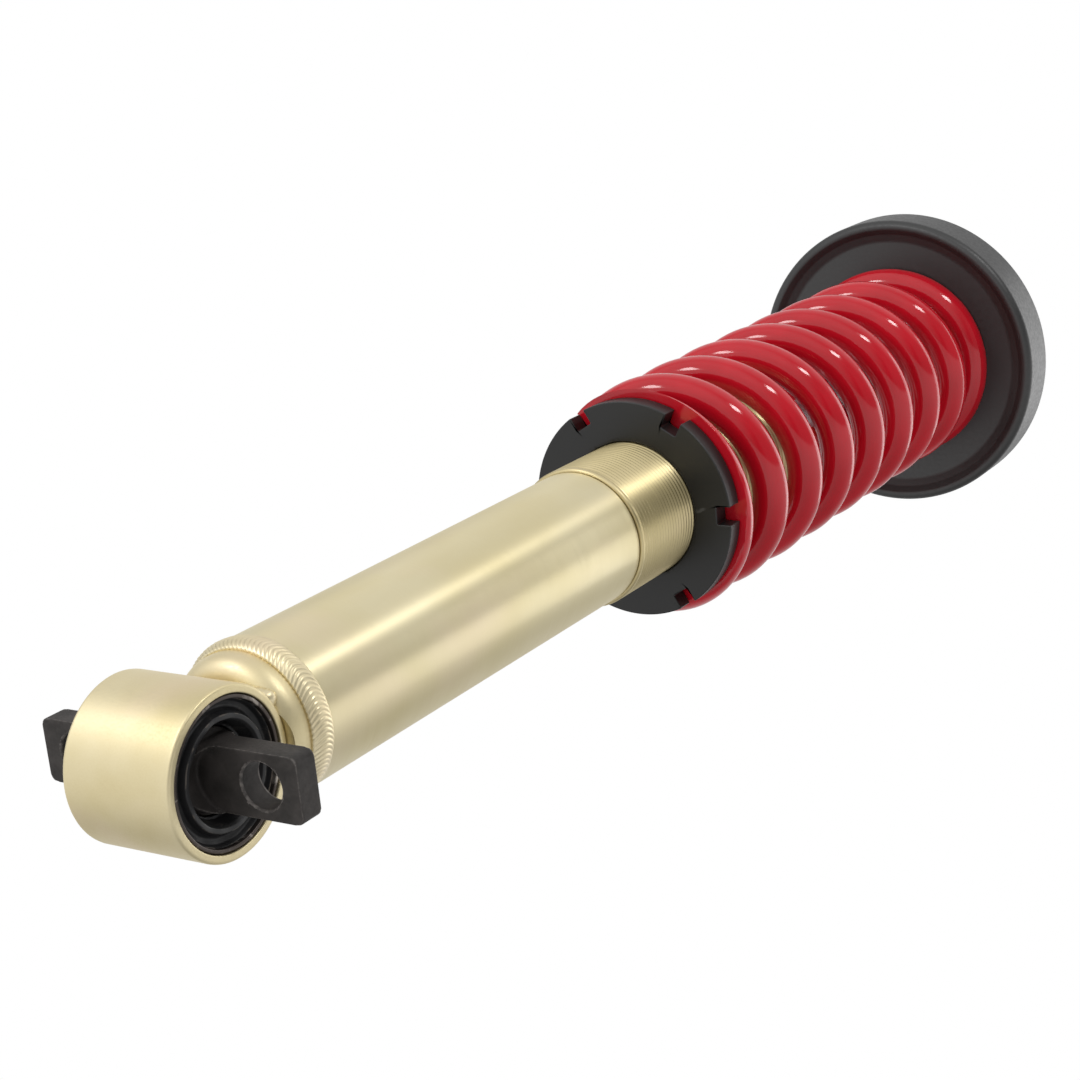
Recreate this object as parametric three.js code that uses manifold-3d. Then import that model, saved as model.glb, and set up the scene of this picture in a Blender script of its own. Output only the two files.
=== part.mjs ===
// Front coilover strut: a gas damper in a threaded barrel, with a coil spring held between a screwed
// adjuster collar and a dished upper pan, a bonded rubber top mount and a bar-pin bush at the lower end.
// Millimetres, +Z up along the strut. Lengths along the strut are stations, counted up from the centre
// of the lower eye. The whole strut hangs from the upper face of its stud plate, which is the origin.
import * as THREE from 'three';
import { mergeVertices } from 'three/addons/utils/BufferGeometryUtils.js';
import Module from 'manifold-3d';

const wasm = await Module();
wasm.setup();

// ---------------------------------------------------------------- driving dimensions
const GAP = 0.3; // clearance kept between pieces that touch
const EYE_TO_MOUNT = 540; // eye centre to the stud plate's upper face

const TUBE_RADIUS = 25.4; // 2 inch damper tube
const BORE_RADIUS = 22;
const UNDER_SLEEVE = 24; // tube radius under the threaded sleeve
const SEAL_RADIUS = 21.85; // seals and bands that slide in the bore
const SLEEVE_RADIUS = 26.6;
const SLEEVE_START = 222;
const SLEEVE_END = 346;
const TUBE_START = 38.2;
const TUBE_END = 340;

const EYE_RADIUS = 25.35;
const EYE_HALF_WIDTH = 19.65;
const BUSH_RADIUS = 22.4;
const PIN_BARREL_RADIUS = 12.6;
const TAB_HALF_HEIGHT = 10;
const TAB_HALF_THICKNESS = 4.1;
const TAB_END = 47.3;
const TAB_HOLE_RADIUS = 7.15;
const TAB_HOLE_OFFSET = 34;
const FLAT_ROOT = 21.3; // centre of the half-round inner end of each flat, from the strut's axis
const BUSH_WALL = 1.3; // thin steel sleeve round the bush

const COLLAR_FACE = 260.8;
const COLLAR_RIM = 7.2;
const COLLAR_RADIUS = 42.3;
const COLLAR_NOTCHES = 6;
const NOTCH_WIDTH = 7;
const NOTCH_DEPTH = 6;
const SET_SCREW_ANGLE = 150;
const PILOT_RADIUS = 31.2; // locates the 2.5 inch inner diameter of the spring
const WASHER_RADIUS = 35.2; // slip washer, let into the collar's back
const WASHER_THICKNESS = 1;
const WASHER_PROUD = 0.3;

const WIRE_RADIUS = 7;
const SPRING_RADIUS = 38.8; // to the centre of the wire
const SPRING_TURNS = 8.792;
const SPRING_FIRST_ANGLE = THREE.MathUtils.degToRad(-125);
const SPRING_START = 266.67; // wire centre at the lower tip before it is drawn down
const CLOSED_PITCH = 11;
const OPEN_PITCH = 31.5;
const OPENS_AT = 0.396; // turns from the lower tip
const CLOSES_AT = 8.146;
const PITCH_EASE = 0.05;
const TIP_DROP = 3.6; // how far the lower tip is drawn down before grinding, so that it ends thin
const TIP_REACH = 0.1; // turns

const PAN_FACE = 518.5;
const PAN_RADIUS = 68.2;
const PAN_LIP = 514.6;
const PAN_TOP = 536.2;
const PAN_WALL = 3;
const STUD_PLATE_THICKNESS = 5;
const STUD_PLATE_RADIUS = 60;
const SOCKET_HOLE_RADIUS = 22;
const STUD_CIRCLE_RADIUS = 47.5;
const STUD_RADIUS = 5;
const STUD_HEIGHT = 24;
const STUD_ANGLES = [30, 150, 270];

const ROD_RADIUS = 7;
const ROD_THREAD_RADIUS = 5;
const ROD_FOOT = 285.5;
const ROD_SHOULDER = 516;
const ROD_TOP = 533;
const PISTON_SHOULDER = 311.3;
const GUIDE_FOOT = 320;
const GUIDE_TOP = 333;
const NUT_ACROSS_FLATS = 17;
const PISTON_FOOT = 296.3;
const PISTON_HEIGHT = 12;
const FLOATING_PISTON_FOOT = 92;

const FINE = 36; // sides of a large round piece
const MEDIUM = 24;
const COARSE = 16;
const TINY = 12;
const COLLAR_SIDES = 48;

// ---------------------------------------------------------------- materials
const finish = (color, roughness, metalness) =>
  new THREE.MeshStandardMaterial({ color, roughness, metalness });
const GOLD_ZINC = finish(0xd5caac, 0.35, 0.9);
const THREAD_ZINC = finish(0xa89a6a, 0.4, 0.9);
const BLACK_ANODISED = finish(0x1d1d1f, 0.45, 0.5);
const RED_POWDER = finish(0xc81e28, 0.2, 0);
const BLACK_POWDER = finish(0x202022, 0.4, 0.1);
const FORGED_STEEL = finish(0x4a4542, 0.6, 0.6);
const BLACK_RUBBER = finish(0x161616, 0.8, 0);
const HARD_CHROME = finish(0xdadce0, 0.08, 1);
const BRIGHT_STEEL = finish(0xa9abae, 0.3, 0.9);
const PLATED_STEEL = finish(0x8f9196, 0.35, 0.9);
const ALUMINIUM = finish(0xb4b7ba, 0.35, 0.9);
const SLIDE_POLYMER = finish(0x6d5a3a, 0.6, 0);
const BUMP_FOAM = finish(0xd8b23a, 0.8, 0);

// ---------------------------------------------------------------- geometry helpers

/** Turned shape about +Z. The profile is [radius, station] pairs, anticlockwise with radius to the right. */
function turned(profile, sides, closed = true) {
  const points = profile.map(([radius, station]) => new THREE.Vector2(radius, station));
  if (closed) {
    points.push(points[0].clone());
  }
  return new THREE.LatheGeometry(points, sides).rotateX(Math.PI / 2);
}

/** Plain ring or bush between two radii and two stations. */
const ring = (inner, outer, from, to, sides) =>
  turned([[inner, from], [outer, from], [outer, to], [inner, to]], sides);

/** Solid round bar on the axis between two stations. */
const bar = (radius, from, to, sides) =>
  turned([[0, from], [radius, from], [radius, to], [0, to]], sides, false);

/** Points of an arc in the (radius, station) plane, ends included. */
function arc(centreRadius, centreStation, radius, fromDegrees, toDegrees, steps) {
  const points = [];
  for (let step = 0; step <= steps; step += 1) {
    const angle = THREE.MathUtils.degToRad(fromDegrees + ((toDegrees - fromDegrees) * step) / steps);
    points.push([centreRadius + radius * Math.cos(angle), centreStation + radius * Math.sin(angle)]);
  }
  return points;
}

/** Outline extruded along +Z from one station to another. */
function prism(points, from, to) {
  const shape = new THREE.Shape(points.map(([x, y]) => new THREE.Vector2(x, y)));
  const geometry = new THREE.ExtrudeGeometry(shape, { depth: to - from, bevelEnabled: false });
  return geometry.translate(0, 0, from);
}

/** Regular polygon across flats, with a round hole, between two stations. */
function hexNut(acrossFlats, holeRadius, from, to) {
  const shape = new THREE.Shape();
  const corner = acrossFlats / Math.sqrt(3);
  for (let side = 0; side < 6; side += 1) {
    const angle = (side * Math.PI) / 3;
    shape[side ? 'lineTo' : 'moveTo'](corner * Math.cos(angle), corner * Math.sin(angle));
  }
  shape.holes.push(new THREE.Path().absarc(0, 0, holeRadius, 0, 2 * Math.PI, true));
  const settings = { depth: to - from, bevelEnabled: false, curveSegments: COARSE / 2 };
  return new THREE.ExtrudeGeometry(shape, settings).translate(0, 0, from);
}

/** Turns a shape made along +Z so that it lies along +X. */
const alongX = (geometry) => geometry.rotateY(Math.PI / 2);

function toSolid(geometry) {
  const bare = geometry.clone();
  bare.deleteAttribute('normal');
  bare.deleteAttribute('uv');
  const merged = mergeVertices(bare, 1e-4);
  const vertProperties = new Float32Array(merged.attributes.position.array);
  const triVerts = new Uint32Array(merged.index.array);
  return new wasm.Manifold(new wasm.Mesh({ numProp: 3, vertProperties, triVerts }));
}

function toGeometry(solid) {
  const { vertProperties, triVerts } = solid.getMesh();
  const geometry = new THREE.BufferGeometry();
  geometry.setAttribute('position', new THREE.BufferAttribute(new Float32Array(vertProperties), 3));
  geometry.setIndex(new THREE.BufferAttribute(new Uint32Array(triVerts), 1));
  geometry.computeVertexNormals();
  return geometry;
}

const cut = (base, ...tools) =>
  toGeometry(tools.reduce((solid, tool) => solid.subtract(toSolid(tool)), toSolid(base)));
const join = (base, ...others) =>
  toGeometry(others.reduce((solid, other) => solid.add(toSolid(other)), toSolid(base)));
const common = (base, other) => toGeometry(toSolid(base).intersect(toSolid(other)));

const strut = new THREE.Group();
strut.position.z = -EYE_TO_MOUNT;

function piece(name, geometry, material) {
  const mesh = new THREE.Mesh(geometry, material);
  mesh.name = name;
  strut.add(mesh);
}

// ---------------------------------------------------------------- lower eye, bush and bar pin

function buildEye() {
  const boreRadius = BUSH_RADIUS + GAP;
  const chamfer = 0.8;
  const half = EYE_HALF_WIDTH;
  const wall = turned([
    [boreRadius, -half], [EYE_RADIUS - chamfer, -half], [EYE_RADIUS, -half + chamfer],
    [EYE_RADIUS, half - chamfer], [EYE_RADIUS - chamfer, half], [boreRadius, half],
  ], FINE);
  piece('lower_eye', alongX(wall), GOLD_ZINC);

  const sleeveHalf = half - 0.4;
  const sleeve = ring(BUSH_RADIUS - BUSH_WALL, BUSH_RADIUS, -sleeveHalf, sleeveHalf, FINE);
  piece('bush_outer_sleeve', alongX(sleeve), FORGED_STEEL);
}

function buildBush() {
  const outer = BUSH_RADIUS - BUSH_WALL - GAP;
  const inner = PIN_BARREL_RADIUS + GAP;
  const mouth = 13; // where the face meets the pin
  const crest = 18.4; // of the raised ring on each face
  const crestInner = 15.3;
  const crestOuter = 17.1;
  const troughRadius = 18.6;
  const trough = 15.2;
  const lip = 17.4;
  const half = [
    [inner, mouth], [crestInner, crest], [crestOuter, crest], [troughRadius, trough], [outer, lip],
  ];
  const lower = half.map(([radius, x]) => [radius, -x]);
  const upper = [...half].reverse();
  piece('bush_rubber', alongX(turned([...lower, ...upper], FINE)), BLACK_RUBBER);
}

/** Outline of the metal coined away above a flat: half-round inwards, open outwards. */
function flatOutline(side) {
  const steps = 10;
  const reach = TAB_END + 5;
  const rootRadius = TAB_HALF_HEIGHT + 0.2;
  const halfWidth = TAB_HALF_HEIGHT + 3;
  const points = [];
  for (let step = 0; step <= steps; step += 1) {
    const angle = Math.PI * (0.5 + step / steps);
    const x = FLAT_ROOT + rootRadius * Math.cos(angle);
    points.push([side * x, rootRadius * Math.sin(angle)]);
  }
  points.push([side * reach, -halfWidth], [side * reach, halfWidth]);
  return side > 0 ? points : points.reverse();
}

function buildBarPin() {
  const shoulder = 13; // end of the full round part
  const neckRadius = 10.9; // where the round part has tapered away into the tab
  const edge = 0.8;
  const middle = turned([
    [0, -shoulder], [PIN_BARREL_RADIUS - edge, -shoulder], [PIN_BARREL_RADIUS, edge - shoulder],
    [PIN_BARREL_RADIUS, shoulder - edge], [PIN_BARREL_RADIUS - edge, shoulder], [0, shoulder],
  ], MEDIUM, false);
  const inside = shoulder - 2;
  const core = PIN_BARREL_RADIUS - 0.2;
  const taper = turned([
    [0, -FLAT_ROOT], [neckRadius, -FLAT_ROOT], [core, -inside], [core, inside], [neckRadius, FLAT_ROOT],
    [0, FLAT_ROOT],
  ], MEDIUM, false);
  const slice = new THREE.BoxGeometry(3 * FLAT_ROOT, 2 * TAB_HALF_HEIGHT - 0.1, 3 * FLAT_ROOT);

  const corner = 2.5;
  const outline = [];
  for (const [signX, signY] of [[1, -1], [1, 1], [-1, 1], [-1, -1]]) {
    const near = [signX * TAB_END, signY * (TAB_HALF_HEIGHT - corner)];
    const far = [signX * (TAB_END - corner), signY * TAB_HALF_HEIGHT];
    outline.push(...(signX * signY < 0 ? [far, near] : [near, far]));
  }
  const tabs = prism(outline, -TAB_HALF_THICKNESS, TAB_HALF_THICKNESS);
  const tools = [];
  for (const side of [-1, 1]) {
    const hole = bar(TAB_HOLE_RADIUS, -2 * TAB_HALF_THICKNESS, 2 * TAB_HALF_THICKNESS, COARSE);
    tools.push(hole.translate(side * TAB_HOLE_OFFSET, 0, 0));
    tools.push(prism(flatOutline(side), TAB_HALF_THICKNESS, 2 * PIN_BARREL_RADIUS));
    tools.push(prism(flatOutline(side), -2 * PIN_BARREL_RADIUS, -TAB_HALF_THICKNESS));
  }
  const blank = join(alongX(middle), common(alongX(taper), slice), tabs);
  piece('bar_pin', cut(blank, ...tools), FORGED_STEEL);
}

// ---------------------------------------------------------------- barrel

function domeProfile(grow) {
  const cornerRadius = 6.5;
  const cornerCentre = [17, 29.2];
  const neck = cornerCentre[0] + cornerRadius + grow;
  return {
    neck,
    points: [
      [0, cornerCentre[1] - cornerRadius - grow],
      ...arc(cornerCentre[0], cornerCentre[1], cornerRadius + grow, -90, 0, 5),
    ],
  };
}

const eyeClearance = () => alongX(bar(EYE_RADIUS + GAP, -2 * EYE_HALF_WIDTH, 2 * EYE_HALF_WIDTH, FINE));

function buildBase() {
  const spigotRadius = BORE_RADIUS - GAP;
  const spigotEnd = 52;
  const dishRadius = 14;
  const dishFloor = 40;
  const shoulder = TUBE_START - GAP;
  const { neck, points } = domeProfile(0);
  const cup = turned([
    ...points, [neck, shoulder], [spigotRadius, shoulder], [spigotRadius, spigotEnd],
    [dishRadius, spigotEnd], [dishRadius, dishFloor], [0, dishFloor],
  ], FINE, false);
  piece('base_cup', cut(cup, eyeClearance()), GOLD_ZINC);

  const beadInner = neck + GAP;
  const beadFoot = 31.2;
  const crown = 26; // top of the bead, just proud of the tube
  const bead = turned([
    [beadInner, beadFoot], [crown - 1.3, beadFoot + 0.7], [crown - 0.3, beadFoot + 2.2],
    [crown, beadFoot + 4], [crown - 0.2, shoulder - 1.1], [crown - 0.7, shoulder], [beadInner, shoulder],
  ], FINE);
  piece('base_weld', bead, GOLD_ZINC);
}

function buildEyeWelds() {
  const beadRadius = 3.1;
  const beadHalfLength = 19.2;
  const offset = 13.4;
  const station = 22.6;
  const dome = domeProfile(GAP);
  const domeTop = [[dome.neck, TUBE_START], [0, TUBE_START]];
  for (const [name, side] of [['eye_weld_front', -1], ['eye_weld_rear', 1]]) {
    const bead = alongX(bar(beadRadius, -beadHalfLength, beadHalfLength, TINY));
    bead.translate(0, side * offset, station);
    const domeShape = turned([...dome.points, ...domeTop], FINE, false);
    piece(name, cut(bead, eyeClearance(), domeShape), GOLD_ZINC);
  }
}

function buildTube() {
  const tube = turned([
    [BORE_RADIUS, TUBE_START], [TUBE_RADIUS, TUBE_START], [TUBE_RADIUS, SLEEVE_START - GAP],
    [UNDER_SLEEVE, SLEEVE_START - GAP], [UNDER_SLEEVE, TUBE_END], [BORE_RADIUS, TUBE_END],
  ], FINE);
  piece('damper_tube', tube, GOLD_ZINC);

  const chamfer = 0.6;
  const sleeve = turned([
    [UNDER_SLEEVE + GAP, SLEEVE_START], [SLEEVE_RADIUS - chamfer, SLEEVE_START],
    [SLEEVE_RADIUS, SLEEVE_START + chamfer], [SLEEVE_RADIUS, SLEEVE_END - chamfer],
    [SLEEVE_RADIUS - chamfer, SLEEVE_END], [UNDER_SLEEVE + GAP, SLEEVE_END],
  ], FINE);
  piece('threaded_sleeve', sleeve, THREAD_ZINC);
}

function buildHeadOfBarrel() {
  const rodClearance = ROD_RADIUS + GAP;
  const plugRadius = BORE_RADIUS - GAP;
  const bushRadius = 9;
  const sealTop = GUIDE_TOP + 3.6;
  const washerTop = sealTop + 2.8;
  const guide = turned([
    [bushRadius + GAP, GUIDE_FOOT], [plugRadius - 2, GUIDE_FOOT], [plugRadius, GUIDE_FOOT + 2],
    [plugRadius, GUIDE_TOP], [bushRadius + GAP, GUIDE_TOP],
  ], MEDIUM);
  piece('rod_guide', guide, ALUMINIUM);
  const bush = ring(rodClearance, bushRadius, GUIDE_FOOT + 1, GUIDE_TOP - 1, COARSE);
  piece('guide_bush', bush, SLIDE_POLYMER);
  piece('shaft_seal', ring(rodClearance, plugRadius, GUIDE_TOP + GAP, sealTop, MEDIUM), BLACK_RUBBER);
  piece('seal_washer', ring(rodClearance + 1, plugRadius, sealTop + GAP, washerTop, MEDIUM), PLATED_STEEL);

  const wiperRadius = 11;
  const wiperFoot = TUBE_END + 2;
  const lipRadius = 8.6;
  const capRadius = 26.2;
  const capTop = SLEEVE_END + 5;
  const chamfer = 1.5;
  const cap = turned([
    [wiperRadius + GAP, TUBE_END + GAP], [UNDER_SLEEVE, TUBE_END + GAP], [UNDER_SLEEVE, SLEEVE_END + GAP],
    [capRadius, SLEEVE_END + GAP], [capRadius, capTop - chamfer], [capRadius - chamfer, capTop],
    [wiperRadius + GAP, capTop],
  ], FINE);
  piece('barrel_cap', cap, BLACK_ANODISED);
  const wiper = turned([
    [rodClearance, wiperFoot], [wiperRadius, wiperFoot], [wiperRadius, capTop + 0.5],
    [lipRadius, capTop + 2], [rodClearance, capTop + 2],
  ], COARSE);
  piece('rod_wiper', wiper, BLACK_RUBBER);
}

function buildFloatingPiston() {
  const radius = BORE_RADIUS - GAP;
  const grooveRadius = 19;
  const foot = FLOATING_PISTON_FOOT;
  const top = foot + 16;
  const grooveFoot = foot + 5.6;
  const grooveTop = grooveFoot + 4.6;
  const dishRadius = 13;
  const dishTop = foot + 8;
  const body = turned([
    [0, dishTop], [dishRadius, dishTop], [dishRadius, foot], [radius, foot], [radius, grooveFoot],
    [grooveRadius, grooveFoot], [grooveRadius, grooveTop], [radius, grooveTop], [radius, top], [0, top],
  ], MEDIUM, false);
  piece('floating_piston', body, ALUMINIUM);
  const seal = ring(grooveRadius + GAP, SEAL_RADIUS, grooveFoot + GAP, grooveTop - GAP, MEDIUM);
  piece('floating_piston_seal', seal, BLACK_RUBBER);
}

// ---------------------------------------------------------------- adjuster collar

const COLLAR_BACK = COLLAR_FACE + COLLAR_RIM;
const SPRING_FOOT = COLLAR_BACK + WASHER_PROUD + GAP;

/** Turns a shape made along +Z so that it points outwards at the collar's set screw. */
const radial = (geometry) =>
  alongX(geometry)
    .translate(0, 0, COLLAR_FACE + COLLAR_RIM / 2)
    .rotateZ(THREE.MathUtils.degToRad(SET_SCREW_ANGLE));

function buildCollar() {
  const bore = SLEEVE_RADIUS + GAP;
  const pilotTop = COLLAR_BACK + 20;
  const pilotChamfer = 2;
  const edge = 0.7;
  const recess = WASHER_RADIUS + GAP;
  const recessFloor = COLLAR_BACK + WASHER_PROUD - WASHER_THICKNESS - GAP;
  const ringShape = turned([
    [bore, COLLAR_FACE], [COLLAR_RADIUS - edge, COLLAR_FACE], [COLLAR_RADIUS, COLLAR_FACE + edge],
    [COLLAR_RADIUS, COLLAR_BACK], [recess, COLLAR_BACK], [recess, recessFloor],
    [PILOT_RADIUS, recessFloor], [PILOT_RADIUS, pilotTop - pilotChamfer],
    [PILOT_RADIUS - pilotChamfer, pilotTop], [bore, pilotTop],
  ], COLLAR_SIDES);
  const tools = [];
  const overrun = 5;
  for (let index = 0; index < COLLAR_NOTCHES; index += 1) {
    const slot = new THREE.BoxGeometry(NOTCH_DEPTH + overrun, NOTCH_WIDTH, 3 * COLLAR_RIM);
    slot.translate(COLLAR_RADIUS + (overrun - NOTCH_DEPTH) / 2, 0, COLLAR_FACE + COLLAR_RIM / 2);
    tools.push(slot.rotateZ((index * 2 * Math.PI) / COLLAR_NOTCHES));
  }
  const screwRadius = 2.5;
  const padFoot = bore + 0.4;
  const padTop = padFoot + 3;
  const screwTop = COLLAR_RADIUS - 3.5;
  tools.push(radial(bar(screwRadius + GAP, bore - 3, COLLAR_RADIUS + 3, TINY)));
  piece('adjuster_collar', cut(ringShape, ...tools), BLACK_ANODISED);
  piece('collar_lock_pad', radial(bar(screwRadius, padFoot, padTop, TINY)), SLIDE_POLYMER);
  piece('collar_set_screw', radial(bar(screwRadius, padTop + GAP, screwTop, TINY)), PLATED_STEEL);
}

function buildSlipWasher() {
  const top = COLLAR_BACK + WASHER_PROUD;
  const washer = ring(PILOT_RADIUS + GAP, WASHER_RADIUS, top - WASHER_THICKNESS, top, FINE);
  piece('slip_washer', washer, SLIDE_POLYMER);
}

// ---------------------------------------------------------------- coil spring

/** Smooth ramp: 0 well before zero, rising one for one well after it. */
const softRamp = (x) => PITCH_EASE * Math.log1p(Math.exp(x / PITCH_EASE));

/** Station of the wire's centre after a number of turns from the lower tip. */
function wireStation(turns) {
  const opened = softRamp(turns - OPENS_AT) - softRamp(turns - CLOSES_AT);
  const drop = TIP_DROP * Math.exp(-turns / TIP_REACH);
  return SPRING_START - drop + CLOSED_PITCH * turns + (OPEN_PITCH - CLOSED_PITCH) * opened;
}

class SpringCurve extends THREE.Curve {
  getPoint(t, target = new THREE.Vector3()) {
    const turns = t * SPRING_TURNS;
    const angle = SPRING_FIRST_ANGLE + 2 * Math.PI * turns;
    const x = SPRING_RADIUS * Math.cos(angle);
    const y = SPRING_RADIUS * Math.sin(angle);
    return target.set(x, y, wireStation(turns));
  }
}

function buildSpring() {
  const stepsPerTurn = 20;
  const section = new THREE.Shape();
  const sides = 8;
  for (let side = 0; side < sides; side += 1) {
    const angle = (2 * Math.PI * side) / sides;
    section[side ? 'lineTo' : 'moveTo'](WIRE_RADIUS * Math.cos(angle), WIRE_RADIUS * Math.sin(angle));
  }
  const wire = new THREE.ExtrudeGeometry(section, {
    steps: Math.round(SPRING_TURNS * stepsPerTurn),
    extrudePath: new SpringCurve(),
    bevelEnabled: false,
  });
  const ground = bar(2 * SPRING_RADIUS, SPRING_FOOT, PAN_FACE - GAP, FINE);
  piece('coil_spring', common(wire, ground), RED_POWDER);
}

// ---------------------------------------------------------------- damper rod and piston

function buildRod() {
  const rod = turned([
    [0, ROD_FOOT], [ROD_THREAD_RADIUS, ROD_FOOT], [ROD_THREAD_RADIUS, PISTON_SHOULDER],
    [ROD_RADIUS, PISTON_SHOULDER], [ROD_RADIUS, ROD_SHOULDER], [ROD_THREAD_RADIUS, ROD_SHOULDER],
    [ROD_THREAD_RADIUS, ROD_TOP], [0, ROD_TOP],
  ], COARSE, false);
  piece('piston_rod', rod, HARD_CHROME);

  const onRod = ROD_RADIUS + GAP;
  const bumperFoot = PISTON_SHOULDER + 0.6;
  const bumperRadius = 13;
  piece('rebound_bumper', ring(onRod, bumperRadius, bumperFoot, GUIDE_FOOT - 1.2, COARSE), BLACK_RUBBER);

  const washerTop = ROD_SHOULDER - 0.1;
  const washerFoot = washerTop - 2;
  const stopTop = washerFoot - GAP;
  const stopFoot = stopTop - 27.6;
  const tipRadius = 13;
  const bellyRadius = 16;
  const waistRadius = 14.5;
  const crownRadius = 19;
  piece('bump_stop', turned([
    [onRod, stopFoot], [tipRadius, stopFoot], [bellyRadius, stopFoot + 5], [waistRadius, stopFoot + 10],
    [crownRadius, stopFoot + 16], [crownRadius, stopTop], [onRod, stopTop],
  ], COARSE), BUMP_FOAM);
  piece('bump_washer', ring(onRod, crownRadius + 2, washerFoot, washerTop, COARSE), PLATED_STEEL);

  const hole = ROD_THREAD_RADIUS + GAP;
  const nutFoot = PAN_FACE + PAN_WALL + 2.8;
  const lower = ring(hole, 14, ROD_SHOULDER + GAP, PAN_FACE - GAP, COARSE);
  const upper = ring(hole, 15, PAN_FACE + PAN_WALL + GAP, nutFoot - GAP, COARSE);
  piece('pan_washer_lower', lower, PLATED_STEEL);
  piece('pan_washer_upper', upper, PLATED_STEEL);
  piece('rod_nut', hexNut(NUT_ACROSS_FLATS, hole, nutFoot, ROD_TOP - 1), PLATED_STEEL);
}

/** Stack of thin discs as one solid: a full disc against the piston and a small one behind it. */
function shimStack(hole, face, direction) {
  const station = (offset) => face + direction * offset;
  const discRadius = 14;
  const backRadius = 9;
  const disc = 0.9;
  const cone = 1.5;
  const stack = 2.4;
  const profile = [
    [hole, station(0)], [discRadius, station(0)], [discRadius, station(disc)],
    [backRadius, station(cone)], [backRadius, station(stack)], [hole, station(stack)],
  ];
  return turned(direction > 0 ? profile : profile.reverse(), COARSE);
}

function buildPiston() {
  const hole = ROD_THREAD_RADIUS + GAP;
  const radius = BORE_RADIUS - GAP;
  const top = PISTON_FOOT + PISTON_HEIGHT;
  const land = 3.3; // height of the piston above and below its band
  const groove = radius - 1.2;
  const blank = turned([
    [hole, PISTON_FOOT], [radius, PISTON_FOOT], [radius, PISTON_FOOT + land],
    [groove, PISTON_FOOT + land], [groove, top - land], [radius, top - land], [radius, top], [hole, top],
  ], MEDIUM);
  const ports = [];
  const portCount = 6;
  const portRadius = 2.1;
  const portCircle = 11;
  for (let index = 0; index < portCount; index += 1) {
    const port = bar(portRadius, PISTON_FOOT - 1, top + 1, 8).translate(portCircle, 0, 0);
    ports.push(port.rotateZ((index * 2 * Math.PI) / portCount));
  }
  piece('piston', cut(blank, ...ports), ALUMINIUM);
  const band = ring(groove + GAP, SEAL_RADIUS, PISTON_FOOT + land + GAP, top - land - GAP, MEDIUM);
  piece('piston_band', band, SLIDE_POLYMER);
  piece('compression_shims', shimStack(hole, top + GAP, 1), BRIGHT_STEEL);
  piece('rebound_shims', shimStack(hole, PISTON_FOOT - GAP, -1), BRIGHT_STEEL);
  const nutTop = PISTON_FOOT - 3.6;
  piece('piston_nut', hexNut(NUT_ACROSS_FLATS, hole, ROD_FOOT + 1, nutTop), PLATED_STEEL);
}

// ---------------------------------------------------------------- upper pan and top mount

function buildPan() {
  const rimRadius = 3;
  const dishEdge = 57.5; // where the flat dish starts to rise to the rim
  const innerWall = PAN_RADIUS - PAN_WALL;
  const floor = PAN_FACE + PAN_WALL;
  const pilotFoot = PAN_FACE - 10;
  const pilotWall = 3;
  const hole = ROD_THREAD_RADIUS + GAP;
  const pan = turned([
    [hole, PAN_FACE], [PILOT_RADIUS - pilotWall, PAN_FACE], [PILOT_RADIUS - pilotWall, pilotFoot],
    [PILOT_RADIUS - 1, pilotFoot], [PILOT_RADIUS, pilotFoot + 1], [PILOT_RADIUS, PAN_FACE],
    [dishEdge, PAN_FACE], [dishEdge + 3, PAN_FACE - 0.8], [dishEdge + 5.5, PAN_FACE - 2.8],
    ...arc(PAN_RADIUS - rimRadius, PAN_LIP + rimRadius, rimRadius, -90, 0, 5),
    [PAN_RADIUS, PAN_TOP], [innerWall, PAN_TOP], [innerWall, floor], [hole, floor],
  ], FINE);
  piece('upper_spring_pan', pan, BLACK_POWDER);
}

/** Places a shape made on the axis at one of the stud plate's three studs. */
const onStudCircle = (geometry, degrees) =>
  geometry.translate(STUD_CIRCLE_RADIUS, 0, 0).rotateZ(THREE.MathUtils.degToRad(degrees));

function buildTopMount() {
  const plateFoot = EYE_TO_MOUNT - STUD_PLATE_THICKNESS;
  const rubberFoot = PAN_FACE + PAN_WALL + GAP;
  const rubberTop = plateFoot - GAP;
  const waist = 2;
  const rubber = turned([
    [SOCKET_HOLE_RADIUS, rubberFoot], [STUD_PLATE_RADIUS, rubberFoot],
    [STUD_PLATE_RADIUS - waist, (rubberFoot + rubberTop) / 2], [STUD_PLATE_RADIUS - 1, rubberTop],
    [SOCKET_HOLE_RADIUS, rubberTop],
  ], FINE);
  piece('isolator_rubber', rubber, BLACK_RUBBER);

  const edge = 1;
  const plate = turned([
    [SOCKET_HOLE_RADIUS, plateFoot], [STUD_PLATE_RADIUS, plateFoot],
    [STUD_PLATE_RADIUS, EYE_TO_MOUNT - edge], [STUD_PLATE_RADIUS - edge, EYE_TO_MOUNT],
    [SOCKET_HOLE_RADIUS, EYE_TO_MOUNT],
  ], FINE);
  const holes = STUD_ANGLES.map((degrees) =>
    onStudCircle(bar(STUD_RADIUS + GAP, plateFoot - 1, EYE_TO_MOUNT + 1, COARSE), degrees));
  piece('stud_plate', cut(plate, ...holes), BLACK_POWDER);

  const tip = EYE_TO_MOUNT + STUD_HEIGHT;
  STUD_ANGLES.forEach((degrees, index) => {
    const stud = turned([
      [0, plateFoot], [STUD_RADIUS, plateFoot], [STUD_RADIUS, tip - edge], [STUD_RADIUS - edge, tip],
      [0, tip],
    ], COARSE, false);
    piece(`mount_stud_${index + 1}`, onStudCircle(stud, degrees), PLATED_STEEL);
  });
}

buildEye();
buildBush();
buildBarPin();
buildBase();
buildEyeWelds();
buildTube();
buildHeadOfBarrel();
buildFloatingPiston();
buildCollar();
buildSlipWasher();
buildSpring();
buildRod();
buildPiston();
buildPan();
buildTopMount();

const coilover = new THREE.Group();
coilover.add(strut);
export default coilover;
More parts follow.
